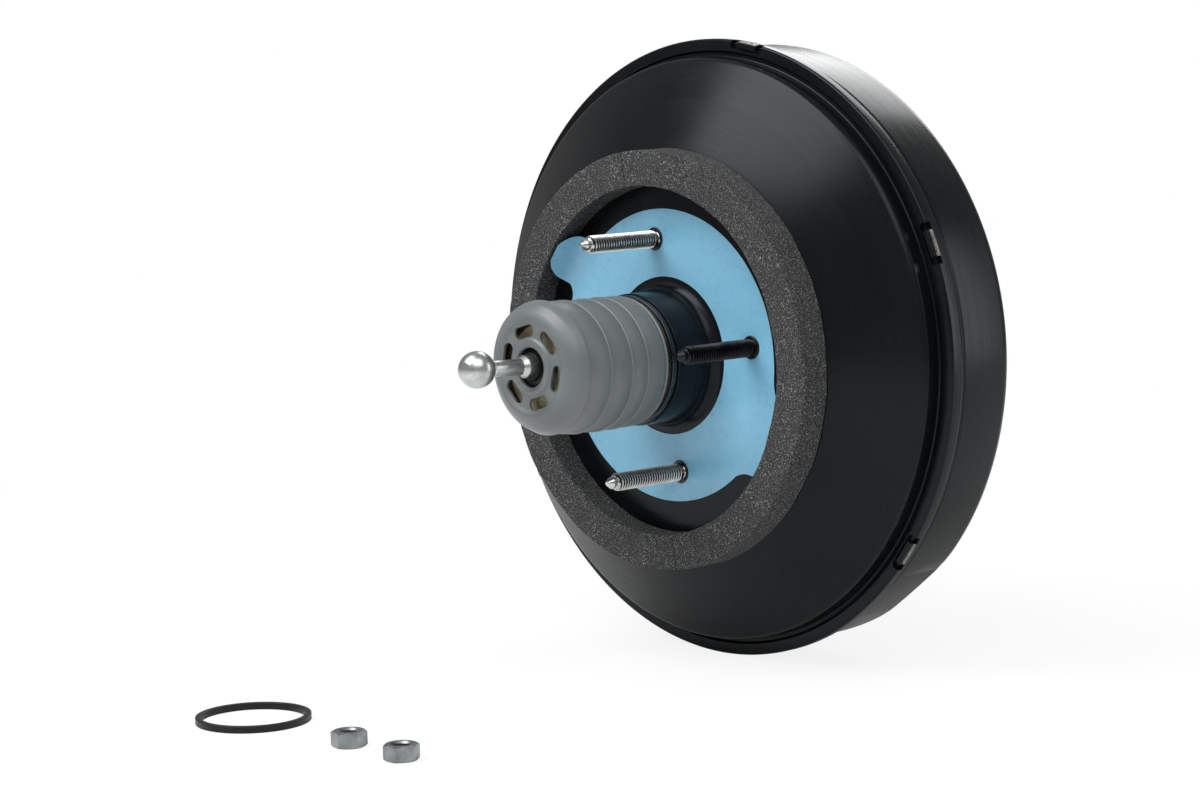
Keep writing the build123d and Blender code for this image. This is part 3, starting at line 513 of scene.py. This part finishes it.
SLOT_MATERIALS = {
    "shell_paint": PAINT,
    "plate_steel": PRESSED,
    "stud_black": PHOSPHATE,
    "zinc": ZINC,
    "rubber": BLACK_RUBBER,
    "hard_rubber": WET_RUBBER,
    "boot_rubber": BOOT_RUBBER,
    "moulded": PHENOLIC,
    "bush": ACETAL,
    "spring_steel": SPRING,
    "felt": FELT,
    "foam": FOAM,
    "film": FILM,
    "valve_plastic": NYLON,
}
NODE_SLOTS = {row["node"]: row["material_slot"] for row in frame["record"]["subparts"]}
for node_name, node in NODES.items():
    node.data.materials.clear()
    node.data.materials.append(SLOT_MATERIALS[NODE_SLOTS[node_name]])


# ---------------------------------------------------------------- rear shell

SHEET = 1.6
NECK_R = 29.4
RIM_R = 140.4
RIM_Y = 30.4
SHOULDER_R = 132.2
STUD_HOLE_R = 4.4


def rear_shell():
    outer = [
        (NECK_R, -22.0, 0.5),
        (NECK_R, 0.0, 6.0),
        (87.5, 0.0, 30.0),
        (SHOULDER_R, 22.8, 3.5),
        (SHOULDER_R, RIM_Y + 1.0, 0.9),
        (134.2, RIM_Y + 1.0, 0.5),
        (135.2, RIM_Y, 0.5),
        (RIM_R, RIM_Y, 1.2),
        (RIM_R, RIM_Y + 4.6, 0.3),
    ]
    inner = [
        (RIM_R - SHEET, RIM_Y + 4.6, 0.3),
        (RIM_R - SHEET, RIM_Y + SHEET),
        (SHOULDER_R - SHEET, RIM_Y + SHEET + 0.9, 1.2),
        (SHOULDER_R - SHEET, 23.8, 2.0),
        (87.1, SHEET, 30.0),
        (NECK_R - SHEET, SHEET, 7.0),
        (NECK_R - SHEET, -22.0, 0.5),
    ]
    shell = lathe("rear_shell_painted", outer + inner, 288)
    for angle in CLINCH_ANGLES:
        notch = notch_cutter(19.0, 5.0, 4.4)
        carry(notch, round_axis(angle) @ shift(RIM_R - 2.3, RIM_Y + 0.8, 0))
        cut(shell, notch)
    for angle in STUD_ANGLES:
        deselect()
        bpy.ops.mesh.primitive_cylinder_add(vertices=40, radius=STUD_HOLE_R * MM, depth=8 * MM)
        drill = bpy.context.object
        carry(drill, on_circle(angle, STUD_CIRCLE) @ Matrix.Rotation(math.pi / 2, 4, "X"))
        cut(shell, drill)
    smooth(shell)
    return finish_with(shell, PAINT, "booster", "rear_shell")


# ---------------------------------------------------------------- front shell

FRONT_Y = 98.0
PORT_ANGLE = 140.0
PORT_R = 98.0
DRUM_R = 137.0
DRUM_CORNER_Y = 72.6
SPIGOT_R = 24.6
SPIGOT_DEPTH = 12.0
SEAL_BORE_R = 13.0
FLAT_ANGLE = 52.0
FLAT_SLOPE = math.radians(40)
FLAT_DEPTH = 3.6


def front_shell():
    lip = RIM_Y + SHEET
    outer = [
        (RIM_R - SHEET - 0.05, lip),
        (RIM_R - SHEET - 0.05, lip + 2.0, 1.0),
        (137.4, lip + 3.6, 1.5),
        (137.4, 40.0, 0.8),
        (136.7, 41.6, 0.8),
        (DRUM_R, 43.2, 0.8),
        (DRUM_R, DRUM_CORNER_Y, 6.0),
        (66.0, FRONT_Y, 12.0),
        (SPIGOT_R, FRONT_Y, 1.8),
        (SPIGOT_R, FRONT_Y - SPIGOT_DEPTH, 1.2),
        (SEAL_BORE_R, FRONT_Y - SPIGOT_DEPTH, 0.4),
    ]
    inner = [
        (SEAL_BORE_R, FRONT_Y - SPIGOT_DEPTH - SHEET, 0.4),
        (26.2, FRONT_Y - SPIGOT_DEPTH - SHEET, 2.0),
        (26.2, FRONT_Y - SHEET),
        (65.7, FRONT_Y - SHEET, 10.0),
        (135.4, 71.6, 4.4),
        (135.4, lip, 0.4),
    ]
    shell = lathe("front_shell_painted", outer + inner, 288)
    # flat pressed into the corner of the drum
    facing = Vector((math.cos(FLAT_SLOPE), math.sin(FLAT_SLOPE), 0))
    facing = round_axis(-FLAT_ANGLE).to_3x3() @ facing
    corner = DRUM_R * math.cos(FLAT_SLOPE) + DRUM_CORNER_Y * math.sin(FLAT_SLOPE)
    reach = (corner - FLAT_DEPTH) * MM
    for vertex in shell.data.vertices:
        proud = vertex.co.dot(facing) - reach
        if proud > 0:
            vertex.co -= facing * proud
    turret = lathe(
        "turret",
        [(0, 60.0), (21.0, 80.0), (17.0, 84.0, 3.0), (17.0, 91.0, 1.6), (0, 91.0)],
        72,
    )
    carry(turret, on_circle(PORT_ANGLE, PORT_R))
    shell = cut(shell, turret, "UNION")
    bore = lathe("grommet_hole", [(0, 70.0), (9.0, 70.0), (9.0, 95.0), (0, 95.0)], 48)
    carry(bore, on_circle(PORT_ANGLE, PORT_R))
    cut(shell, bore)
    drill_outline = [(0, 90.0), (STUD_HOLE_R, 90.0), (STUD_HOLE_R, 102.0), (0, 102.0)]
    for angle in TIE_BOLT_ANGLES:
        drill = lathe("tie_bolt_hole", drill_outline, 40)
        carry(drill, on_circle(angle, STUD_CIRCLE))
        cut(shell, drill)
    smooth(shell)
    return finish_with(shell, PAINT, "booster", "front_shell")


def clinch_tabs():
    """Tabs of the front shell, staked into the notches: painted, with a bare sheared strip."""
    edge, bare_from = RIM_R - 0.1, RIM_Y + 1.1
    outline = [
        (RIM_R - 2.95, RIM_Y + 2.9),
        (RIM_R - 2.95, RIM_Y - 0.5, 0.25),
        (edge - 0.5, RIM_Y - 0.5, 0.5),
        (edge - 0.3, bare_from),
        (edge, bare_from + 0.5),
        (edge, RIM_Y + 2.9),
    ]
    arc = math.degrees(11.8 / edge)
    tabs = []
    for index, angle in enumerate(CLINCH_ANGLES):
        tab = lathe(f"clinch_tab_{index}", outline, 14, arc=arc)
        carry(tab, round_axis(angle - arc / 2))
        tabs.append(tab)
    whole = join("clinch_tabs", *tabs)
    # the shear left a ragged edge
    for vertex in whole.data.vertices:
        if vertex.co.y > bare_from * MM - 1e-6 and vertex.co.y < (bare_from + 0.6) * MM:
            vertex.co.y += noise.noise(vertex.co * 900.0) * 0.7 * MM
    finish_with(whole, PAINT, "booster")
    whole.data.materials.append(TAB_STEEL)
    for face in whole.data.polygons:
        outward = math.hypot(face.center.x, face.center.z) > (edge - 0.35) * MM
        if outward and face.center.y > bare_from * MM:
            face.material_index = 1


# ---------------------------------------------------------------- neck and boot


def neck_retainer():
    """Glossy black ring between boot and neck: one raised band between two grooves."""
    ring = lathe(
        "neck_retainer_ring",
        [
            (22.4, -33.0),
            (27.7, -33.0, 0.5),
            (27.7, -32.0, 0.3),
            (26.6, -32.0),
            (26.6, -26.9),
            (27.4, -26.7, 0.2),
            (27.4, -25.5, 0.3),
            (28.9, -25.1, 0.5),
            (28.9, -23.0, 0.5),
            (28.1, -22.6, 0.2),
            (28.1, -22.0),
            (27.8, -22.0),
            (27.8, -20.0),
            (22.4, -20.0),
        ],
        160,
    )
    return finish_with(ring, WET_RUBBER, "booster", "neck_retainer")


BOOT_VALLEYS = (-39.5, -48.9, -61.4, -75.0)
BOOT_LIFT = 2.3
BOOT_CREST = 29.3


def boot():
    """Grey bellows: shallow folds, a domed end round the raised rod, six breathing slots."""
    crest = BOOT_CREST
    outer = [
        (26.7, -27.5),
        (28.6, -27.5, 0.4),
        (28.9, -28.3, 0.4),
        (28.3, -29.0, 0.3),
        (28.6, -29.6, 0.4),
        (29.1, -30.6, 0.8),
    ]
    front = -30.6
    for low in BOOT_VALLEYS:
        span = front - low
        for part in (0.12, 0.3, 0.5, 0.7, 0.86, 0.95):
            y = front - part * span
            fall = 2.0 * max(0.0, (part - 0.15) / 0.85) ** 1.7 + 0.3 * (1 - part) ** 3
            outer.append((crest - fall, y))
        outer.append((crest - 2.3, low + 0.15, 0.15))
        outer.append((crest + 0.1, low - 0.15, 0.15))
        outer.append((crest + 0.1, low - 0.5, 0.2))
        outer.append((crest - 0.3, low - 0.9, 0.2))
        front = low - 0.9
    outer.pop()
    outer += [
        (crest - 0.35, -76.8, 2.0),
        (crest - 1.5, -79.6, 5.0),
        (crest - 4.9, -82.7, 4.0),
        (21.2, -84.1, 2.2),
        (18.4, -82.6, 1.6),
        (13.0, -82.4, 1.0),
        (11.9, -83.4, 0.8),
        (10.3, -83.8, 0.9),
        (8.7, -83.2, 0.4),
    ]
    inner = [
        (8.7, -81.3, 0.3),
        (20.4, -81.3, 1.0),
        (24.6, -80.0, 3.0),
        (27.0, -77.0, 3.0),
    ]
    for low in reversed(BOOT_VALLEYS):
        inner.append((crest - 3.0, low))
        inner.append((crest - 2.0, low + 3.2))
    inner += [(27.8, -33.2), (27.8, -32.0), (26.7, -31.9)]
    piece = lathe("boot_bellows", outer + inner, 192)
    for step in range(6):
        slot = slot_cutter(5.4, 12.0, 12)
        carry(slot, round_axis(45 + step * 60) @ shift(15.7, -84.0, 0))
        cut(piece, slot)
    bevel_edges(piece, "slot_edges", 0.35, 70)
    # the end sits higher than the neck, round the tilted rod
    for vertex in piece.data.vertices:
        back = max(0.0, -vertex.co.y / MM - 50.0) / 33.5
        vertex.co.z += BOOT_LIFT * MM * min(1.0, back) ** 1.7
    smooth(piece, math.radians(40))
    piece.data.materials.append(BOOT_RUBBER)
    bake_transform(piece)
    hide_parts("boot")
    return piece


# ---------------------------------------------------------------- input rod


def tilted():
    """From the booster's axis to the rod's own, which rests raised at its ball."""
    pivot = shift(0, ROD_PIVOT, 0)
    return pivot @ Matrix.Rotation(-math.radians(ROD_TILT), 4, "X") @ pivot.inverted()


BALL_R, BALL_Y = 8.0, -113.5
INNER_BALL_R = 5.2


def input_rod():
    ball = []
    for step in range(26):
        turn = math.radians(24.2 + step * (155.5 - 24.2) / 25)
        ball.append((BALL_R * math.sin(turn), BALL_Y - BALL_R * math.cos(turn)))
    outline = [(0, ball[0][1]), *ball]
    outline += [
        (3.5, -104.6, 0.6),
        (3.5, -89.4, 1.5),
        (5.0, -87.2, 1.5),
        (5.15, -66.6, 0.4),
        (4.6, -66.0),
        (4.0, -66.0, 0.3),
        (4.0, -27.8, 0.5),
        (3.2, -26.2, 0.4),
        (3.2, -24.1),
    ]
    for step in range(12):
        turn = math.radians(142 - step * 142 / 12)
        outline.append((INNER_BALL_R * math.sin(turn), ROD_PIVOT + INNER_BALL_R * math.cos(turn)))
    outline.append((0, ROD_PIVOT + INNER_BALL_R))
    rod = lathe("input_rod_turned", outline, 72)
    carry(rod, tilted())
    return finish_with(rod, ROD_ZINC, "input_rod", "input_rod")


def dust_washer():
    ring = lathe(
        "rod_dust_lip",
        [
            (5.15, -79.9),
            (5.15, -83.4, 0.2),
            (5.9, -83.4, 0.2),
            (6.5, -81.4, 1.0),
            (9.0, -80.6, 1.2),
            (11.0, -80.4, 0.2),
            (11.0, -79.9, 0.2),
        ],
        96,
    )
    carry(ring, tilted())
    return finish_with(ring, BLACK_RUBBER, "input_rod", "rod_dust_washer")


# ---------------------------------------------------------------- studs and nuts

THREAD_PITCH = 1.5  # coarser than the 1.25 of M8, so that it shows
THREAD_R = 4.0
THREAD_ROOT = 3.2
THREAD_STEPS = 28
THREAD_FADE = 1.6
BOLT_FRONT = 28.0


def thread(name, start, end, r=THREAD_R, root=THREAD_ROOT):
    """Screws one thread tooth along the axis and fades it out at both ends."""
    turns = int((end - start) / THREAD_PITCH)
    piece = start_outline(name, root, start)
    tooth = [(root, 0.16), (r, 0.57), (r, 0.72), (root, 1.09), (root, THREAD_PITCH)]
    last = (root, 0.0)
    for radius, y in tooth:
        move = ((radius - last[0]) * MM, (y - last[1]) * MM, 0)
        bpy.ops.mesh.extrude_region_move(TRANSFORM_OT_translate={"value": move})
        last = (radius, y)
    bpy.ops.object.mode_set(mode="OBJECT")
    screw = piece.modifiers.new("screw", "SCREW")
    screw.axis = "Y"
    screw.screw_offset = THREAD_PITCH * MM
    screw.iterations = turns
    screw.steps = screw.render_steps = THREAD_STEPS
    screw.use_merge_vertices = True
    screw.merge_threshold = 1e-6
    apply_modifiers(piece)
    low, high = start, start + (turns + 1) * THREAD_PITCH
    for vertex in piece.data.vertices:
        y = vertex.co.y / MM
        flat = Vector((vertex.co.x, vertex.co.z))
        fade = min(1.0, (y - low) / THREAD_FADE, (high - y) / THREAD_FADE)
        radius = root + (flat.length / MM - root) * max(0.0, fade)
        flat = flat.normalized() * radius * MM
        vertex.co.x, vertex.co.z = flat.x, flat.y
    face_normals(piece)
    smooth(piece, math.radians(28))
    return piece


def paint_groove_shade(piece, low, high):
    """Writes how deep each point lies in the thread, for the painted shade in its grooves."""
    depth = piece.data.attributes.new("groove", "FLOAT", "POINT")
    for vertex, row in zip(piece.data.vertices, depth.data):
        radius = math.hypot(vertex.co.x, vertex.co.z) / MM
        threaded = low * MM < vertex.co.y < high * MM
        row.value = min(1.0, max(0.0, (THREAD_R - radius) / (THREAD_R - THREAD_ROOT))) * threaded


def stud_end():
    """Dog point: a cone, a groove and the start of the thread."""
    return [
        (0, -45.7),
        (0.9, -45.7, 0.3),
        (2.7, -43.2, 0.3),
        (2.7, -42.4, 0.2),
        (2.2, -42.1),
        (2.2, -41.6),
        (3.1, -41.2, 0.2),
        (THREAD_ROOT, -40.2),
        (THREAD_ROOT, -1.0),
        (3.6, -0.6),
        (3.6, 1.0),
    ]


def pressed_studs():
    core = lathe(
        "stud_core",
        stud_end() + [(3.6, 3.6), (6.0, 3.6, 0.5), (6.0, 7.0, 0.8), (0, 7.0)],
        48,
    )
    stud = join("stud", core, thread("stud_thread", -41.4, -1.2))
    paint_groove_shade(stud, -40.5, -0.9)
    whole = round_circle(stud, PRESSED_STUD_ANGLES, "mounting_studs_threaded")
    return finish_with(whole, PHOSPHATE, "booster", "mounting_studs")


def tie_bolts():
    front = FRONT_Y + BOLT_FRONT
    shank = [
        (9.0, 3.6),
        (9.0, 8.6, 0.6),
        (5.0, 9.6),
        (5.0, 88.4),
        (9.0, 89.4, 0.6),
        (9.0, 94.4),
        (THREAD_ROOT, 94.4),
        (THREAD_ROOT, front - 1.6),
        (2.5, front, 0.4),
        (0, front),
    ]
    core = lathe("tie_bolt_core", stud_end() + [(3.6, 3.6)] + shank, 48)
    rear = thread("rear_thread", -41.4, -1.2)
    ahead = thread("front_thread", 96.0, front - 1.0)
    bolt = join("tie_bolt", core, rear, ahead)
    paint_groove_shade(bolt, -40.5, -0.9)
    whole = round_circle(bolt, TIE_BOLT_ANGLES, "tie_bolts_threaded")
    return finish_with(whole, ZINC, "booster", "tie_bolts")


def stud_washers():
    """Black rubber-lined mouths in which the studs stand, seen through the film's holes."""
    ring = lathe(
        "stud_collar",
        [(4.02, -0.9, 0.2), (5.0, -0.9, 0.35), (5.2, 0.05), (4.02, 0.05)],
        48,
    )
    whole = round_circle(ring, STUD_ANGLES, "stud_collars")
    finish_with(whole, WET_RUBBER, "booster")


NUT_PLACES = ((15.1, -201.2, 47.0), (50.1, -202.7, 62.0))
NUT_FLATS = 13
NUT_HEIGHT = 6.6
UPRIGHT = Matrix.Rotation(math.pi / 2, 4, "X")


def nuts():
    """Loose M8 hexagon nuts: turned chamfers on the corners, countersunk threaded holes."""
    deselect()
    corner = NUT_FLATS / math.sqrt(3)
    bpy.ops.mesh.primitive_cylinder_add(vertices=6, radius=corner * MM, depth=NUT_HEIGHT * MM)
    blank = bpy.context.object
    blank.name = "nut_blank"
    carry(blank, Matrix.Rotation(math.radians(-30), 4, "Z"))
    disc = lathe(
        "chamfer_form",
        [(0, -3.3), (6.3, -3.3), (7.7, -2.5), (7.7, 2.5), (6.3, 3.3), (0, 3.3)],
        96,
    )
    cut(blank, carry(disc, UPRIGHT), "INTERSECT")
    half = [(0, 4.0), (4.7, 4.0), (4.4, 3.3), (3.5, 2.5)]
    drill = lathe("nut_bore", [(r, -z) for r, z in half] + half[::-1], 48)
    cut(blank, carry(drill, UPRIGHT))
    bevel_edges(blank, "worn_edges", 0.15, 25)
    smooth(blank, math.radians(35))
    inside = thread("nut_thread", -3.0, 2.0, 3.35, 3.52)
    carry(inside, UPRIGHT)
    face_normals(inside, inside=True)
    nut = join("nut", blank, inside)
    made = []
    for index, (x, y, turn) in enumerate(NUT_PLACES):
        twin = copy_of(nut, f"nut_{index}")
        turned = Matrix.Rotation(math.radians(turn), 4, "Z")
        made.append(carry(twin, shift(x, y, FLOOR + NUT_HEIGHT / 2) @ turned))
    bpy.data.objects.remove(nut)
    whole = join("cylinder_nuts_hex", *made)
    return finish_with(whole, NUT_ZINC, "booster", "cylinder_nuts")


def seal_ring():
    ring = lathe(
        "cylinder_seal_square",
        [(22.0, 0, 0.35), (24.5, 0, 0.35), (24.5, 3.0, 0.45), (22.0, 3.0, 0.45)],
        160,
    )
    carry(ring, shift(-53.2, -198.2, FLOOR) @ UPRIGHT)
    return finish_with(ring, BLACK_RUBBER, "booster", "cylinder_seal_ring")


# ---------------------------------------------------------------- foam and film

FOAM_DROP = 1.5
FOAM_SEAM = 99.0
FOAM_INNER, FOAM_OUTER, FOAM_HEIGHT = 78.0, 94.0, 12.4


def foam_strip(name, start, arc, node):
    """Strip cut from sheet foam and bent round: slightly waved edges, butted at two seams."""
    outline = [
        (FOAM_INNER, -FOAM_HEIGHT, 0.7),
        (FOAM_OUTER, -FOAM_HEIGHT, 0.9),
        (FOAM_OUTER, 2.6),
        (86.0, 0.5),
        (FOAM_INNER, -0.05),
    ]
    strip = lathe(name, outline, 96, arc=arc)
    carry(strip, round_axis(start))
    take(strip)
    bpy.ops.object.mode_set(mode="EDIT")
    bpy.ops.mesh.select_all(action="SELECT")
    bpy.ops.mesh.subdivide(number_cuts=1)
    bpy.ops.object.mode_set(mode="OBJECT")
    for vertex in strip.data.vertices:
        wave = noise.noise(vertex.co * 45.0) * 0.45 + noise.noise(vertex.co * 260.0) * 0.22
        out = Vector((vertex.co.x, 0, vertex.co.z)).normalized()
        vertex.co += out * wave * MM
        if vertex.co.y < -5 * MM:
            vertex.co.y += noise.noise(vertex.co * 90.0) * 0.35 * MM
    carry(strip, shift(0, 0, -FOAM_DROP))
    smooth(strip, math.radians(45))
    strip.data.materials.append(FOAM)
    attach(strip, "booster")
    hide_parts(node)
    return strip


FILM_HOLE, FILM_EDGE = 35.5, 65.8
LIFTED_TAB, FLAT_TAB = 144, -36
TAB_HALF, TAB_LOWER = 12.4, 15


def film():
    """Peel-off film: a ring with stud holes and two tabs, the upper one lifted by the foam."""
    hole, edge = FILM_HOLE, FILM_EDGE
    count = 360
    rows = [hole + (edge - hole) * step / 14 for step in range(15)]
    vertices, faces = [], []
    for radius in rows:
        for step in range(count):
            turn = math.radians(step * 360 / count)
            vertices.append((radius * math.cos(turn), 0.0, radius * math.sin(turn)))
    for row in range(len(rows) - 1):
        for step in range(count):
            ahead = (step + 1) % count
            low, high = row * count, (row + 1) * count
            faces.append((low + step, low + ahead, high + ahead, high + step))
    rim = (len(rows) - 1) * count
    # each tab grows out of the rim between its two fillets
    for middle, upper, reach in ((LIFTED_TAB, 15, 15.5), (FLAT_TAB, 34, 10.0)):
        lower = TAB_LOWER
        across = list(range(middle - lower, middle + upper + 1))
        base = [rim + step % count for step in across]
        layers = 16
        turn = math.radians(middle)
        out = Vector((math.cos(turn), 0, math.sin(turn)))
        side = Vector((-math.sin(turn), 0, math.cos(turn)))
        previous = base
        for layer in range(1, layers + 1):
            part = layer / layers
            current = []
            for step in across:
                spread_over = upper if step > middle else lower
                off = (step - middle) / spread_over
                tab_half = TAB_HALF * spread_over / lower
                start = math.radians(step)
                foot = Vector((edge * math.cos(start), 0, edge * math.sin(start)))
                foot_out, foot_side = foot.dot(out), foot.dot(side)
                # half width falls from the root to the tab's own width, then closes in an arc
                root = min(1.0, part * reach / 4.5)
                own = (1 - (1 - root) ** 2) * tab_half * abs(off)
                half = (1 - root) ** 2 * abs(foot_side) + own
                past = max(0.0, part * reach - (reach - 9.0)) / 9.0
                half *= math.sqrt(max(0.0, 1 - (past * 0.93) ** 2)) if past > 0 else 1.0
                crown = (1 - part) * foot_out + part * (edge + reach)
                place = out * crown + side * math.copysign(half, off)
                current.append(len(vertices))
                vertices.append(tuple(place))
            for near, far in zip(zip(previous, previous[1:]), zip(current, current[1:])):
                faces.append((near[0], near[1], far[1], far[0]))
            previous = current
    mesh = bpy.data.meshes.new("protective_film")
    mesh.from_pydata([Vector(v) * MM for v in vertices], [], faces)
    piece = bpy.data.objects.new("protective_film", mesh)
    bpy.context.scene.collection.objects.link(piece)
    # the lifted tab bends off the face and leans on the foam's inner wall
    turn = math.radians(LIFTED_TAB)
    out = Vector((math.cos(turn), 0, math.sin(turn)))
    for vertex in mesh.vertices:
        flat = vertex.co / MM
        along = flat.dot(out) - 63.0
        ripple = noise.noise(vertex.co * 55.0) * 0.16 + noise.noise(vertex.co * 22.0) * 0.2
        fade = min(1.0, (flat.length - hole) / 6)
        vertex.co.y -= abs(ripple) * fade * MM
        near = (flat - out * flat.dot(out)).length < 20
        if along > 0 and near and flat.length > 62:
            run, rise, pace = 0.0, 0.0, 0.25
            for step in range(int(along / pace)):
                lean = math.radians(62) * min(1.0, step * pace / 11) ** 1.3
                run += math.cos(lean) * pace
                rise += math.sin(lean) * pace
            vertex.co += out * (run - along) * MM
            vertex.co.y -= rise * MM
    face_normals(piece)
    wall = piece.modifiers.new("wall", "SOLIDIFY")
    wall.thickness = 0.2 * MM
    wall.offset = 0.0
    apply_modifiers(piece)
    carry(piece, shift(0, -0.25, 0))
    for angle in STUD_ANGLES:
        punch = lathe("punch", [(0, -3.0), (5.25, -3.0), (5.25, 3.0), (0, 3.0)], 64)
        carry(punch, on_circle(angle, STUD_CIRCLE))
        cut(piece, punch)
    smooth(piece, math.radians(50))
    finish_with(piece, FILM, "booster", "mounting_film")
    return piece


# ---------------------------------------------------------------- assembly

rear_shell()
front_shell()
clinch_tabs()
neck_retainer()
boot()
input_rod()
dust_washer()
pressed_studs()
tie_bolts()
stud_washers()
nuts()
seal_ring()
foam_strip("foam_ring_left", FOAM_SEAM, 179.7, "foam_strip_left")
foam_strip("foam_ring_right", FOAM_SEAM + 180.0, 179.7, "foam_strip_right")
film()

for spring, joint, seat, kept in (
    ("return_spring", "piston_slide", 0.0944, 0.59),
    ("rod_spring", "plunger_slide", -0.0674, 0.88),
    ("poppet_spring", "poppet_slide", -0.0346, 0.954),
    ("check_valve_spring", "check_disc_lift", 0.10795, 0.858),
):
    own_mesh(NODES[spring])


# ---------------------------------------------------------------- stage

FILL_LIGHT = 0.20
MIRRORED_LIGHT = 0.35


def plain_floor():
    """White paper: keeps the shadow near the object and burns out to plain white further off."""
    material = new_material("white_paper")
    paths = add(material, "ShaderNodeLightPath")
    away = add(
        material,
        "ShaderNodeVectorMath",
        {"operation": "LENGTH"},
        {0: object_point(material)},
    )
    fade = spread(material, away.outputs["Value"], 0.86, 1.0, 0.25, 0.75)
    part = add(
        material,
        "ShaderNodeMath",
        {"operation": "MULTIPLY"},
        {0: paths.outputs["Is Camera Ray"], 1: fade},
    )
    paper = add(
        material,
        "ShaderNodeBsdfDiffuse",
        links={"Color": two_tones(material, blotches(material, 60), "#f2f2f2", "#f6f6f6")},
    )
    white = add(material, "ShaderNodeEmission", {"Color": (1, 1, 1, 1), "Strength": 1.0})
    mixed = add(
        material,
        "ShaderNodeMixShader",
        links={0: part.outputs[0], 1: paper.outputs[0], 2: white.outputs[0]},
    )
    close(material, mixed)
    deselect()
    bpy.ops.mesh.primitive_plane_add(size=14.0, location=(0, 0, FLOOR * MM - 0.0001))
    floor = bpy.context.object
    floor.name = "floor"
    floor.data.materials.append(material)


def studio_world():
    """White behind the object for the lens, glass and gloss; a faint even fill for the rest."""
    world = bpy.data.worlds.new("studio")
    bpy.context.scene.world = world
    world.use_nodes = True
    world.node_tree.nodes.clear()
    paths = add(world, "ShaderNodeLightPath")
    gloss = add(
        world,
        "ShaderNodeMath",
        {"operation": "MAXIMUM"},
        {0: paths.outputs["Is Glossy Ray"], 1: paths.outputs["Is Transmission Ray"]},
    )
    fill, mirrored, shown = (
        add(world, "ShaderNodeBackground", {"Color": (1, 1, 1, 1), "Strength": strength})
        for strength in (FILL_LIGHT, MIRRORED_LIGHT, 1.0)
    )
    inner = add(
        world,
        "ShaderNodeMixShader",
        links={0: gloss.outputs[0], 1: fill.outputs[0], 2: mirrored.outputs[0]},
    )
    mixed = add(
        world,
        "ShaderNodeMixShader",
        links={0: paths.outputs["Is Camera Ray"], 1: inner.outputs[0], 2: shown.outputs[0]},
    )
    add(world, "ShaderNodeOutputWorld", links={"Surface": mixed.outputs[0]})


def softbox(name, place, aim, width, height, power):
    lamp = bpy.data.lights.new(name, "AREA")
    lamp.shape = "RECTANGLE"
    lamp.size, lamp.size_y = width, height
    lamp.energy = power
    holder = bpy.data.objects.new(name, lamp)
    bpy.context.scene.collection.objects.link(holder)
    holder.location = place
    holder.rotation_euler = (Vector(place) - Vector(aim)).to_track_quat("Z", "Y").to_euler()


CAMERA_ANGLES = (46.856, 6.721, -1.554)
CAMERA_PLACE = (30.454, 20.011, 1390.378)
FOCAL_PIXELS, FRAME_PIXELS = 3101.617, 1200.0
SENSOR_WIDTH = 36.0


def photographer():
    """Camera fitted with the rod's ball taken as 16 mm across; its place is in millimetres."""
    turn, rise, roll = (math.radians(a) for a in CAMERA_ANGLES)
    across, over, far = CAMERA_PLACE
    reach = math.cos(rise)
    away = Vector((math.sin(turn) * reach, -math.cos(turn) * reach, math.sin(rise)))
    right = Vector((math.cos(turn), math.sin(turn), 0.0))
    up = away.cross(right)
    level = (
        math.cos(roll) * right + math.sin(roll) * up,
        -math.sin(roll) * right + math.cos(roll) * up,
        away,
    )
    camera = bpy.data.cameras.new("camera")
    camera.sensor_width = SENSOR_WIDTH
    camera.lens = FOCAL_PIXELS * SENSOR_WIDTH / FRAME_PIXELS
    camera.clip_start = 0.05
    holder = bpy.data.objects.new("camera", camera)
    bpy.context.scene.collection.objects.link(holder)
    place = (level[2] * far - level[0] * across - level[1] * over) * MM
    holder.matrix_world = Matrix.Translation(place) @ Matrix(level).transposed().to_4x4()
    bpy.context.scene.camera = holder


plain_floor()
studio_world()
photographer()
softbox("over_left", (-0.38, -0.89, 1.27), (0, 0, 0), 1.1, 1.1, 25)
softbox("over_right", (0.90, -0.60, 1.30), (0, 0, 0), 1.5, 1.2, 16)
softbox("drum_side", (1.25, 1.15, 0.15), (0, 0.05, 0), 0.5, 1.4, 8)
softbox("behind", (-0.60, 1.30, 1.00), (0, 0.05, 0), 1.0, 0.8, 12)
bpy.context.scene.view_settings.view_transform = "Standard"
